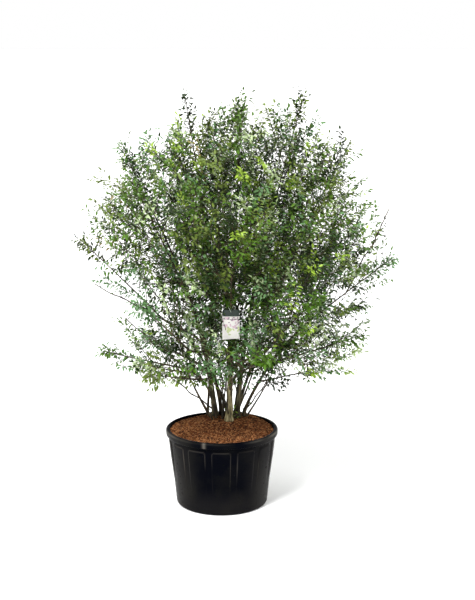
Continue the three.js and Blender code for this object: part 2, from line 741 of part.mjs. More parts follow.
const hook = tagHook();
const tie = tieSolid(hook);
addPiece('label_tag', tagSolid(hook, tie.bottom), TAG_PLASTIC);
addPiece('label_tie', tie.solid, TIE_PLASTIC);

for (const mass of MASSES.filter((each) => each.side)) {
  layOut(mass, limbs.get(mass.side).curve.getPointAt(mass.from));
}
const leaders = MASSES.map(leaderLimb);
const leaderBodies = leaders.map((leader) => limbSolid(leader, LIMB_CLEARANCE));
const fixed = [joinAll(limbSolids), tagView(hook)];
const random = seededRandom(SEED);
MASSES.forEach((mass, i) => {
  const others = leaderBodies.filter((body, k) => k !== i);
  let solid = growMass(mass, leaders[i], random, [...fixed, ...others]);
  if (mass.side) solid = solid.subtract(limbSolid(limbs.get(mass.side), GAP));
  addPiece(`foliage_${mass.name}`, mainBody(solid), LEAF_GREENS[i % LEAF_GREENS.length]);
});

export default plant;
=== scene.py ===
"""Looks of a potted serviceberry: a multi-stem shrub about 2.6 m high in a black nursery pot.

Metres, +Z up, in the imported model's frame: the origin is the centre of the pot's flat underside and
the front faces -Y. The limbs follow the model's own rule, written again here, and the foliage
carries that rule on to side twigs, shoots and leaves of life size.
"""

import logging
import math
import random
from collections.abc import Callable, Iterable, Sequence
from dataclasses import dataclass, field
from enum import Enum

import bpy
import numpy as np
from bpy.types import Material, Node, NodeSocket, Object, World
from mathutils import Matrix, Vector, noise


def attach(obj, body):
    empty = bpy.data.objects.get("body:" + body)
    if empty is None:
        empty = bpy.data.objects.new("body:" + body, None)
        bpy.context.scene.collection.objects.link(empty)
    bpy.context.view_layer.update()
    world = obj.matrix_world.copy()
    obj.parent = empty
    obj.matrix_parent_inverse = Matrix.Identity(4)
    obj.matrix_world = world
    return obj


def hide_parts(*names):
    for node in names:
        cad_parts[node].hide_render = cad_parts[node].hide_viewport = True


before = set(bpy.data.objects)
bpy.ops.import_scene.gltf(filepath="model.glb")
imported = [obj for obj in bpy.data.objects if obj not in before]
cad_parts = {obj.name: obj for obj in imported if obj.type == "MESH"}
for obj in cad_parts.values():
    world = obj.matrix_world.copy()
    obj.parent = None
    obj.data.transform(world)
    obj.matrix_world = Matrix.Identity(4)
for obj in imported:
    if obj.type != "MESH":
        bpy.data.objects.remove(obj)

log = logging.getLogger("serviceberry")

BODY = "root"
UP = Vector((0.0, 0.0, 1.0))
GOLDEN_ANGLE = math.pi * (3.0 - math.sqrt(5.0))
TURN = 2.0 * math.pi

Pair = tuple[float, float]
Triple = tuple[float, float, float]
Colour = tuple[float, float, float, float]

# A copy's point, its turn as Euler angles and its scale.
Place = tuple[Vector, Vector, float]


def srgb(red: int, green: int, blue: int) -> Colour:
    """Returns the opaque linear colour of a screen colour, told by values from 0 to 255."""
    shares = (value / 255.0 for value in (red, green, blue))
    return (*(share / 12.92 if share <= 0.04045 else ((share + 0.055) / 1.055) ** 2.4
              for share in shares), 1.0)


def mix(start: float, end: float, share: float) -> float:
    """Returns the value at a share of the way from start to end."""
    return start + (end - start) * share


def eased(low: float, high: float, value: float) -> float:
    """Returns 0 below low, 1 above high and a smooth rise between them."""
    share = min(max((value - low) / (high - low), 0.0), 1.0)
    return share * share * (3.0 - 2.0 * share)


# Finishes


def set_range(node: Node, places: Pair, values: Pair) -> None:
    """Sets the places of a Map Range node's ends and the values there."""
    for name, value in zip(("From Min", "From Max", "To Min", "To Max"), (*places, *values)):
        node.inputs[name].default_value = value


class Shade:
    """A material's node tree under construction, on Object coordinates."""

    PATTERN_RANGE = (0.3, 0.7)
    MIX_COLOUR_A = 6
    MIX_COLOUR_B = 7
    MIX_COLOUR_OUT = 2

    def __init__(self, name: str) -> None:
        """Starts a material of that name with one Principled shader."""
        self.material = bpy.data.materials.new(name)
        self.material.use_nodes = True
        self.nodes = self.material.node_tree.nodes
        self.links = self.material.node_tree.links
        self.shader = self.nodes["Principled BSDF"]
        self.place = self.nodes.new("ShaderNodeTexCoord").outputs["Object"]

    def set(self, **values: float | Colour) -> None:
        """Sets uniform values on the shader's own sockets, named with underscores for spaces."""
        for name, value in values.items():
            self.shader.inputs[name.replace("_", " ")].default_value = value

    def stretched(self, scale: Triple) -> NodeSocket:
        """Returns the piece's coordinates, stretched along its axes."""
        node = self.nodes.new("ShaderNodeMapping")
        node.inputs["Scale"].default_value = scale
        self.links.new(self.place, node.inputs["Vector"])
        return node.outputs["Vector"]

    def noise(self, scale: float, detail: float, place: NodeSocket | None = None) -> NodeSocket:
        """Adds a noise pattern.

        Args:
            scale: How many features lie in a metre.
            detail: How many finer layers are added.
            place: Coordinates to read, or None for the piece's own.

        Returns:
            The pattern's value socket.
        """
        node = self.nodes.new("ShaderNodeTexNoise")
        node.inputs["Scale"].default_value = scale
        node.inputs["Detail"].default_value = detail
        self.links.new(place or self.place, node.inputs["Vector"])
        return node.outputs["Fac"]

    def ramp(self, value: NodeSocket, stops: Sequence[tuple[float, Colour]]) -> NodeSocket:
        """Adds a colour ramp.

        Args:
            value: The socket that drives it.
            stops: Places from 0 to 1, each with its colour.

        Returns:
            The ramp's colour socket.
        """
        node = self.nodes.new("ShaderNodeValToRGB")
        marks = node.color_ramp.elements
        for mark, (place, colour) in zip(marks, (stops[0], stops[-1])):
            mark.position = place
            mark.color = colour
        for place, colour in stops[1:-1]:
            marks.new(place).color = colour
        self.links.new(value, node.inputs["Fac"])
        return node.outputs["Color"]

    def spread(self, value: NodeSocket, low: float, high: float) -> NodeSocket:
        """Returns a pattern's value spread out between low and high."""
        node = self.nodes.new("ShaderNodeMapRange")
        set_range(node, self.PATTERN_RANGE, (low, high))
        self.links.new(value, node.inputs["Value"])
        return node.outputs["Result"]

    def pale_sheen(self, plain: NodeSocket, bare: Colour, name: str) -> NodeSocket:
        """Mixes a paler colour in where a mesh attribute paints highlight or sheen.

        Args:
            plain: The colour elsewhere.
            bare: The pale colour at full strength.
            name: The mesh attribute that tells its strength.

        Returns:
            The mixed colour's socket.
        """
        wear = self.nodes.new("ShaderNodeAttribute")
        wear.attribute_name = name
        node = self.nodes.new("ShaderNodeMix")
        node.data_type = "RGBA"
        self.links.new(wear.outputs["Fac"], node.inputs["Factor"])
        node.inputs[self.MIX_COLOUR_B].default_value = bare
        self.links.new(plain, node.inputs[self.MIX_COLOUR_A])
        return node.outputs[self.MIX_COLOUR_OUT]

    def feed(self, name: str, value: NodeSocket) -> None:
        """Drives one of the shader's inputs."""
        self.links.new(value, self.shader.inputs[name])

    def bump(self, height: NodeSocket, strength: float, distance: float) -> None:
        """Drives the shader's normal from a height pattern, in metres at full strength."""
        node = self.nodes.new("ShaderNodeBump")
        node.inputs["Strength"].default_value = strength
        node.inputs["Distance"].default_value = distance
        self.links.new(height, node.inputs["Height"])
        self.links.new(node.outputs["Normal"], self.shader.inputs["Normal"])


@dataclass(frozen=True)
class MouldedPlastic:
    """Black moulded plastic with a dusty film, faint rings from the mould, and painted highlights and
    sheen mixed in from a mesh attribute.
    """

    name: str = "pot_plastic"
    body: Colour = srgb(2, 3, 8)
    dust: Colour = srgb(15, 15, 14)
    # Pale colour of the painted highlights, glint and flank reflection, and of the paling at the
    # foot.
    pale_sheen: Colour = srgb(84, 80, 74)
    roughness: Pair = (0.24, 0.40)

    def material(self) -> Material:
        """Returns the finished material."""
        shade = Shade(self.name)
        dusty = shade.noise(scale=7.0, detail=6.0)
        plain = shade.ramp(dusty, [(0.45, self.body), (0.85, self.dust)])
        # Mixes in the painted highlights and sheen kept on the mesh.
        shade.feed("Base Color", shade.pale_sheen(plain, self.pale_sheen, "wear"))
        grain = shade.noise(scale=32.0, detail=5.0)
        shade.feed("Roughness", shade.spread(grain, *self.roughness))
        rings = shade.noise(scale=1.0, detail=3.0, place=shade.stretched((3.0, 3.0, 190.0)))
        shade.bump(rings, strength=0.35, distance=0.0012)
        shade.set(Specular_IOR_Level=0.018)
        return shade.material


@dataclass(frozen=True)
class Bark:
    """Smooth grey-brown bark with upright streaks and small pale lenticels."""

    name: str
    light: Colour
    middle: Colour
    dark: Colour

    def material(self) -> Material:
        """Returns the finished material."""
        shade = Shade(self.name)
        streaks = shade.noise(scale=60.0, detail=8.0, place=shade.stretched((1.0, 1.0, 0.16)))
        shade.feed("Base Color", shade.ramp(streaks, [
            (0.36, self.dark), (0.50, self.middle), (0.62, self.light)]))
        shade.feed("Roughness", shade.spread(streaks, low=0.62, high=0.9))
        lenticels = shade.noise(scale=340.0, detail=6.0, place=shade.stretched((1.0, 1.0, 0.35)))
        shade.bump(lenticels, strength=0.5, distance=0.0012)
        shade.set(Specular_IOR_Level=0.3)
        return shade.material


@dataclass(frozen=True)
class Grained:
    """A finish of one plain colour, with an uneven gloss and a fine grain.

    A pattern is told by its scale and its detail, a relief by its strength and its height.
    """

    gloss: Pair
    gloss_pattern: Pair
    grain_pattern: Pair
    relief: Pair
    specular: float = 0.5

    def material(self, name: str, colour: Colour) -> Material:
        """Returns the finished material in a colour."""
        shade = Shade(name)
        shade.set(Base_Color=colour, Specular_IOR_Level=self.specular)
        shade.feed("Roughness", shade.spread(shade.noise(*self.gloss_pattern), *self.gloss))
        shade.bump(shade.noise(*self.grain_pattern), *self.relief)
        return shade.material


LEAF = Grained((0.28, 0.44), (45.0, 3.0), (420.0, 3.0), (0.25, 0.0008), specular=0.30)
CRUMB = Grained((0.8, 1.0), (160.0, 4.0), (900.0, 4.0), (0.6, 0.001), specular=0.2)
PRINTED_SHEET = Grained((0.37, 0.50), (90.0, 3.0), (260.0, 2.0), (0.15, 0.0006))


class LeafTone(Enum):
    """The greens that sprays of leaves come in, each with its share of the crown.

    The pairs are factors on the share: deep inside and far out in the crown, high up and low
    down, and in a lit patch and a hollow. The dark green is partly painted shade, put mostly deep
    inside and in hollows; the pale green is partly painted highlight, put mostly in lit patches.
    """

    # Dark green, partly painted shade: far more likely deep inside the crown and in hollows.
    DEEP = ("leaves_deep", srgb(26, 46, 5), 0.26, (2.1, 0.4), (1.0, 1.0), (0.2, 4.0))
    MIDDLE = ("leaves_middle", srgb(74, 108, 28), 0.27)
    OLIVE = ("leaves_olive", srgb(96, 114, 46), 0.15, (1.0, 1.0), (1.5, 0.5))
    GREY = ("leaves_grey", srgb(88, 124, 76), 0.17, (1.0, 1.0), (0.4, 2.6))
    # Pale grey-green, partly painted highlight: far more likely in lit patches.
    PALE = ("leaves_pale", srgb(168, 186, 138), 0.08, (1.0, 1.0), (0.7, 1.1), (2.4, 0.2))
    FRESH = ("leaves_fresh", srgb(138, 166, 56), 0.010, (0.4, 1.8), (1.0, 0.2))
    BRONZE = ("leaves_bronze", srgb(126, 112, 62), 0.003)

    def __init__(self, piece: str, colour: Colour, share: float,
                 by_depth: Pair = (1.0, 1.0),
                 by_height: Pair = (1.0, 1.0),
                 by_light: Pair = (1.0, 1.0)) -> None:
        """Keeps the piece's name, its colour and how likely sprays are to have it."""
        self.piece = piece
        self.colour = colour
        self.share = share
        self.by_depth = by_depth
        self.by_height = by_height
        self.by_light = by_light

    def weight(self, outer: float, low: float, hollow: float) -> float:
        """Returns this green's weight by how far out, low and shaded a spray is, each 0 to 1."""
        factor = mix(*self.by_depth, outer) * mix(*self.by_height, low)
        return self.share * (factor * mix(*self.by_light, hollow))


class MulchTone(Enum):
    """The browns that mulch chips come in."""

    DARK = ("mulch_chips_dark", srgb(66, 36, 16))
    WARM = ("mulch_chips_warm", srgb(112, 64, 32))
    PALE = ("mulch_chips_pale", srgb(158, 108, 68))

    def __init__(self, piece: str, colour: Colour) -> None:
        """Keeps the piece's name and its colour."""
        self.piece = piece
        self.colour = colour


OLIVE_BARK = Bark("bark_olive", srgb(182, 170, 132), srgb(122, 112, 78), srgb(46, 40, 20))
DARK_BARK = Bark("bark_dark", srgb(112, 104, 78), srgb(72, 66, 46), srgb(32, 27, 16))
BROWN_BARK = Bark("bark_brown", srgb(96, 84, 62), srgb(60, 50, 36), srgb(28, 22, 15))
TWIG_BARK = Bark("bark_twig", srgb(88, 76, 56), srgb(54, 46, 32), srgb(26, 22, 14))


# Meshes


def mesh_piece(name: str, points: np.ndarray | Sequence[Vector], faces: Sequence[Sequence[int]],
               materials: Sequence[Material], smooth: bool = True) -> Object:
    """Makes an object at the origin from points and faces.

    Args:
        name: The piece's name.
        points: Its points, in metres.
        faces: Point numbers of each face, anticlockwise seen from outside.
        materials: Its material slots.
        smooth: Whether its faces are shaded smooth.

    Returns:
        The new object, linked to the scene.
    """
    mesh = bpy.data.meshes.new(name)
    mesh.from_pydata([tuple(point) for point in points], [], [tuple(face) for face in faces])
    mesh.polygons.foreach_set("use_smooth", [smooth] * len(mesh.polygons))
    mesh.update()
    for material in materials:
        mesh.materials.append(material)
    piece = bpy.data.objects.new(name, mesh)
    bpy.context.scene.collection.objects.link(piece)
    return piece


def settle(piece: Object, nodes: Iterable[str]) -> None:
    """Fixes a finished piece to the plant and hides the model's parts that it stands for.

    Args:
        piece: The finished piece.
        nodes: The model's nodes that it replaces.
    """
    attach(piece, BODY)
    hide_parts(*nodes)
    piece.data.calc_loop_triangles()
    log.info("%s: %d triangles", piece.name, len(piece.data.loop_triangles))


def capped_rings(rings: int, sides: int) -> list[list[int]]:
    """Returns the faces of a closed body: one point, rings of points, and one last point.

    Args:
        rings: How many rings there are.
        sides: How many points a ring has.

    Returns:
        The faces, as point numbers.
    """
    last = 1 + (rings - 1) * sides
    faces = []
    for column in range(sides):
        beside = (column + 1) % sides
        faces.append([0, 1 + beside, 1 + column])
        for here in range(1, last, sides):
            above = here + sides
            faces.append([here + column, here + beside, above + beside, above + column])
        faces.append([last + column, last + beside, last + sides])
    return faces


def turned(profile: Sequence[Pair], sides: int,
           lift: Callable[[float, float, float], float] | None = None
           ) -> tuple[list[Vector], list[list[int]]]:
    """Turns a profile about +Z. Its first and last points lie on the axis.

    Args:
        profile: Radius and height pairs, from the underside's centre round the outside.
        sides: How many columns of faces go round.
        lift: Extra radius from angle, radius and height, or None.

    Returns:
        The points and the faces of a closed mesh.
    """
    points = [Vector((0.0, 0.0, profile[0][1]))]
    for radius, height in profile[1:-1]:
        for column in range(sides):
            angle = TURN * column / sides
            reach = radius + (lift(angle, radius, height) if lift else 0.0)
            points.append(Vector((math.cos(angle) * reach, math.sin(angle) * reach, height)))
    points.append(Vector((0.0, 0.0, profile[-1][1])))
    return points, capped_rings(len(profile) - 2, sides)


class NodeTree:
    """A Geometry Nodes tree under construction."""

    RANDOM_INT_MIN = 4
    RANDOM_INT_MAX = 5
    RANDOM_INT_OUT = 2

    def __init__(self, name: str) -> None:
        """Starts a tree of that name with a geometry input and output."""
        self.tree = bpy.data.node_groups.new(name, "GeometryNodeTree")
        for way in ("INPUT", "OUTPUT"):
            self.tree.interface.new_socket("Geometry", in_out=way, socket_type="NodeSocketGeometry")
        self.source = self.tree.nodes.new("NodeGroupInput")
        self.values: dict[str, object] = {}

    def input(self, name: str, kind: str, value: object) -> NodeSocket:
        """Adds a named input.

        Args:
            name: The input's name.
            kind: Its socket type, such as Float or Material.
            value: What the modifier gives it.

        Returns:
            The socket that carries it inside the tree.
        """
        socket = self.tree.interface.new_socket(
            name, in_out="INPUT", socket_type=f"NodeSocket{kind}")
        self.values[socket.identifier] = value
        return self.source.outputs[name]

    def add(self, kind: str, links: dict[str, NodeSocket] | None = None,
            **settings: object) -> Node:
        """Adds a node.

        Args:
            kind: The node's type.
            links: Sockets to join to the node's inputs, by input name.
            settings: The node's own settings; a name that it lacks is one of its inputs.

        Returns:
            The new node.
        """
        node = self.tree.nodes.new(kind)
        for name, value in settings.items():
            if hasattr(node, name):
                setattr(node, name, value)
            else:
                node.inputs[name.replace("_", " ")].default_value = value
        for name, socket in (links or {}).items():
            self.tree.links.new(socket, node.inputs[name])
        return node

    def attribute(self, name: str, kind: str) -> NodeSocket:
        """Returns the value of a named attribute of the points."""
        node = self.add("GeometryNodeInputNamedAttribute", data_type=kind)
        node.inputs["Name"].default_value = name
        return node.outputs["Attribute"]

    def finish(self, geometry: NodeSocket, material: NodeSocket) -> None:
        """Ends the tree: instances made real, then the material."""
        real = self.add("GeometryNodeRealizeInstances", {"Geometry": geometry})
        dressed = self.add("GeometryNodeSetMaterial", {
            "Geometry": real.outputs["Geometry"], "Material": material})
        sink = self.tree.nodes.new("NodeGroupOutput")
        self.tree.links.new(dressed.outputs["Geometry"], sink.inputs["Geometry"])

    def grow(self, host: Object) -> Object:
        """Runs the tree on an object and leaves the result as its plain mesh.

        Args:
            host: The object that holds the points or faces to start from.

        Returns:
            The same object, with no modifier.
        """
        modifier = host.modifiers.new(self.tree.name, "NODES")
        modifier.node_group = self.tree
        for identifier, value in self.values.items():
            modifier[identifier] = value
        graph = bpy.context.evaluated_depsgraph_get()
        mesh = bpy.data.meshes.new_from_object(
            host.evaluated_get(graph), preserve_all_data_layers=True, depsgraph=graph)
        host.modifiers.remove(modifier)
        mesh.name = host.name
        host.data = mesh
        return host


def bare_points(name: str, points: Sequence[Vector], edges: Sequence[tuple[int, int]],
                values: dict[str, tuple[str, Sequence]]) -> Object:
    """Makes an object of bare points or edges that carry attributes.

    Args:
        name: The object's name.
        points: Where the points lie.
        edges: Pairs of joined points.
        values: Attribute names, each with its type and one value for every point.

    Returns:
        The new object, linked to the scene.
    """
    mesh = bpy.data.meshes.new(name)
    mesh.from_pydata([tuple(point) for point in points], list(edges), [])
    for label, (kind, numbers) in values.items():
        layer = mesh.attributes.new(label, kind, "POINT")
        key = "vector" if kind == "FLOAT_VECTOR" else "value"
        layer.data.foreach_set(key, np.array(numbers, dtype=float).ravel())
    host = bpy.data.objects.new(name, mesh)
    bpy.context.scene.collection.objects.link(host)
    return host


def scattered(name: str, places: Sequence[Place], shapes: Sequence[Object], material: Material,
              seed: int) -> Object:
    """Sets one of several shapes on every point and joins them all into one mesh.

    Args:
        name: The finished piece's name.
        places: Where each copy goes.
        shapes: The shapes to choose from, by chance.
        material: The finish of every copy.
        seed: The seed of that chance.

    Returns:
        The finished piece.
    """
    spots, turns, sizes = zip(*places)
    host = bare_points(name, spots, [], {"turn": ("FLOAT_VECTOR", turns), "size": ("FLOAT", sizes)})
    tree = NodeTree(f"{name}_tree")
    chosen = tree.add("GeometryNodeJoinGeometry")
    for number, shape in enumerate(shapes):
        source = tree.add("GeometryNodeObjectInfo", {
            "Object": tree.input(f"Shape {number}", "Object", shape)}, As_Instance=True)
        tree.tree.links.new(source.outputs["Geometry"], chosen.inputs["Geometry"])
    pick = tree.add("FunctionNodeRandomValue", data_type="INT")
    pick.inputs[tree.RANDOM_INT_MIN].default_value = 0
    pick.inputs[tree.RANDOM_INT_MAX].default_value = len(shapes) - 1
    tree.tree.links.new(tree.input("Seed", "Int", seed), pick.inputs["Seed"])
    turn = tree.add("FunctionNodeEulerToRotation", {
        "Euler": tree.attribute("turn", "FLOAT_VECTOR")})
    copies = tree.add("GeometryNodeInstanceOnPoints", {
        "Points": tree.source.outputs["Geometry"],
        "Instance": chosen.outputs["Geometry"],
        "Instance Index": pick.outputs[tree.RANDOM_INT_OUT],
        "Rotation": turn.outputs["Rotation"],
        "Scale": tree.attribute("size", "FLOAT"),
    }, Pick_Instance=True)
    tree.finish(copies.outputs["Instances"], tree.input("Finish", "Material", material))
    return tree.grow(host)


def tubes(name: str, lines: Sequence["Twig"], sides: int, material: Material) -> Object:
    """Makes twigs of round section along lines of points.

    Args:
        name: The finished piece's name.
        lines: The twigs.
        sides: How many sides a twig has.
        material: Their finish.

    Returns:
        The finished piece.
    """
    points: list[Vector] = []
    edges: list[tuple[int, int]] = []
    thickness: list[float] = []
    for line in lines:
        first = len(points)
        last = len(line.points) - 1
        points += line.points
        thickness += [mix(line.root, line.end, step / last) for step in range(last + 1)]
        edges += [(first + step, first + step + 1) for step in range(last)]
    host = bare_points(name, points, edges, {"thickness": ("FLOAT", thickness)})
    tree = NodeTree(f"{name}_tree")
    section = tree.add("GeometryNodeCurvePrimitiveCircle", {
        "Resolution": tree.input("Sides", "Int", sides)}, Radius=1.0)
    line = tree.add("GeometryNodeMeshToCurve", {"Mesh": tree.source.outputs["Geometry"]})
    tube = tree.add("GeometryNodeCurveToMesh", {
        "Curve": line.outputs["Curve"],
        "Profile Curve": section.outputs["Curve"],
        "Scale": tree.attribute("thickness", "FLOAT"),
    }, Fill_Caps=True)
    smooth = tree.add("GeometryNodeSetShadeSmooth", {"Geometry": tube.outputs["Mesh"]})
    tree.finish(smooth.outputs["Geometry"], tree.input("Finish", "Material", material))
    return tree.grow(host)


# Limbs


class LimbCurve:
    """A curve drawn by control points, read by its share of length."""

    DIVISIONS = 200
    SMALL_STEP = 1e-4

    def __init__(self, controls: Sequence[Vector]) -> None:
        """Measures the curve of three or four control points, the ends included."""
        self.controls = [point.copy() for point in controls]
        marks = [self.blend(step / self.DIVISIONS) for step in range(self.DIVISIONS + 1)]
        steps = [0.0] + [(b - a).length for a, b in zip(marks, marks[1:])]
        self.measured = np.cumsum(steps)
        self.length = float(self.measured[-1])

    def blend(self, parameter: float) -> Vector:
        """Returns the point at a parameter from 0 to 1."""
        points = self.controls
        while len(points) > 1:
            points = [a.lerp(b, parameter) for a, b in zip(points, points[1:])]
        return points[0]

    def parameter(self, share: float) -> float:
        """Returns the parameter at a share of the length."""
        places = np.linspace(0.0, 1.0, self.DIVISIONS + 1)
        return float(np.interp(share * self.length, self.measured, places))

    def point(self, share: float) -> Vector:
        """Returns the point at a share of the length."""
        return self.blend(self.parameter(share))

    def run(self, share: float) -> Vector:
        """Returns the direction of the curve at a share of the length."""
        middle = self.parameter(share)
        low = max(middle - self.SMALL_STEP, 0.0)
        high = min(middle + self.SMALL_STEP, 1.0)
        return (self.blend(high) - self.blend(low)).normalized()

    def frames(self, steps: int) -> list[tuple[Vector, Vector]]:
        """Carries a pair of cross directions along the curve without twist.

        Args:
            steps: How many equal stretches the curve is read in.

        Returns:
            The normal and binormal at each end of a stretch.
        """
        runs = [self.run(step / steps) for step in range(steps + 1)]
        axis = min(range(3), key=lambda number: (abs(runs[0][number]), -number))
        side = runs[0].cross(Vector([float(number == axis) for number in range(3)])).normalized()
        normal = runs[0].cross(side)
        frames = [(normal, runs[0].cross(normal))]
        for before, here in zip(runs, runs[1:]):
            turn = before.rotation_difference(here)
            normal = turn @ frames[-1][0]
            frames.append((normal, here.cross(normal)))
        return frames


@dataclass
class Limb:
    """A tapering limb along a curve, in as many straight stretches as the model has."""

    path: LimbCurve
    radius_at: Callable[[float], float]
    steps: int

    def twig(self, steps: int) -> "Twig":
        """Returns the limb as an evenly tapering twig of that many straight stretches."""
        return Twig([self.path.point(step / steps) for step in range(steps + 1)],
                    self.radius_at(0.0), self.radius_at(1.0))

    def face(self, share: float, rank: int) -> Vector:
        """Returns the direction square to one of a three-sided limb's faces."""
        stretch = min(int(share * self.steps), self.steps - 1)
        normal, binormal = self.path.frames(self.steps)[stretch]
        turn = (2 * rank + 1) * math.pi / 3.0
        return normal * math.sin(turn) - binormal * math.cos(turn)


@dataclass(frozen=True)
class Stem:
    """One stem of the clump: its foot, its thickness, its bark and the mass that it carries."""

    name: str
    foot: Pair
    girth: float
    mass: str
    bark: Bark = BROWN_BARK


@dataclass
class Mass:
    """One mass of foliage: where it points, how far it reaches and what carries it."""

    name: str
    heading: float
    lean: float
    reach: float
    root: float
    on: str = ""
    side: str = ""
    start: float = 0.0
    base: Vector = field(default_factory=Vector)
    site: Vector = field(default_factory=Vector)
    course: Vector = field(default_factory=Vector)
    leader: Limb | None = None


STEMS = (
    Stem("stem_main", (0.045, 0.062), 0.044, "top_mid", OLIVE_BARK),
    Stem("stem_left", (-0.045, 0.180), 0.036, "upper_left", DARK_BARK),
    Stem("stem_left_twin", (-0.006, 0.206), 0.024, "upper_front_left"),
    Stem("stem_slender", (-0.092, 0.190), 0.015, "top_left"),
    Stem("stem_right", (0.098, 0.140), 0.032, "top_right", DARK_BARK),
    Stem("stem_right_low", (0.138, 0.172), 0.021, "mid_right"),
    Stem("stem_back", (0.056, 0.190), 0.026, "upper_back"),
    Stem("stem_back_left", (0.032, 0.240), 0.022, "mid_back_left"),
    Stem("stem_back_right", (0.100, 0.222), 0.022, "mid_back_right", DARK_BARK),
    Stem("shoot_left", (-0.038, 0.124), 0.012, "skirt_left"),
)


def all_masses() -> list[Mass]:
    """Returns the crown's masses, with angles in degrees and reaches in metres."""
    return [
        Mass("top_left", 184, 7.3, 2.15, 0.56),
        Mass("top_mid", 50, 3.5, 2.02, 0.54),
        Mass("top_right", 356, 12.4, 2.17, 0.54),
        Mass("upper_left", 178, 20.5, 1.93, 0.56),
        Mass("upper_front_left", 226, 26, 1.84, 0.54),
        Mass("upper_front", 272, 30, 1.70, 0.58, on="stem_main", start=0.36),
        Mass("upper_front_right", 322, 26, 1.84, 0.54, on="stem_right", start=0.5),
        Mass("upper_right", 8, 23, 1.99, 0.55, on="stem_right", start=0.66),
        Mass("upper_back", 92, 22, 1.90, 0.54),
        Mass("mid_left", 182, 37.4, 1.555, 0.54, on="stem_left", start=0.45),
        Mass("mid_front_left", 236, 44, 1.37, 0.54, on="stem_left_twin", start=0.45),
        Mass("mid_front_right", 304, 43, 1.42, 0.52, on="stem_main", start=0.24),
        Mass("mid_right", 357, 43, 1.54, 0.54),
        Mass("mid_back_right", 48, 42, 1.44, 0.54),
        Mass("mid_back", 94, 44, 1.34, 0.54, on="stem_back", start=0.5),
        Mass("mid_back_left", 140, 42, 1.33, 0.54),
        Mass("low_left", 184, 57.4, 0.975, 0.52, on="stem_left", start=0.26),
        Mass("low_front_left", 232, 57, 0.95, 0.5, on="stem_left_twin", start=0.22),
        Mass("low_front", 286, 52, 1.08, 0.5, on="stem_main", start=0.16),
        Mass("low_right", 344, 53, 1.12, 0.5, on="stem_right_low", start=0.4),
        Mass("low_back_right", 30, 60, 1.00, 0.5, on="stem_back_right", start=0.4),
        Mass("low_back", 88, 62, 0.93, 0.5, on="stem_back", start=0.22),
        Mass("low_back_left", 136, 60, 0.98, 0.5, on="stem_back_left", start=0.36),
        Mass("skirt_left", 200, 52, 0.80, 0.58),
        Mass("skirt_right", 338, 55, 0.82, 0.4, side="stem_right_low", start=0.34),
        Mass("skirt_back", 62, 42, 0.64, 0.4, side="stem_back_right", start=0.24),
        Mass("core_left", 216, 35, 0.76, 0.4, side="stem_left", start=0.3),
        Mass("core_front", 276, 33, 0.80, 0.4, side="stem_main", start=0.31),
        Mass("core_right", 334, 35, 0.76, 0.4, side="stem_right", start=0.3),
        Mass("inner_left", 196, 20, 1.12, 0.5, side="stem_slender", start=0.53),
        Mass("inner_front", 290, 16, 1.18, 0.5, side="stem_main", start=0.5),
        Mass("inner_back", 60, 18, 1.12, 0.5, side="stem_back", start=0.4),
    ]


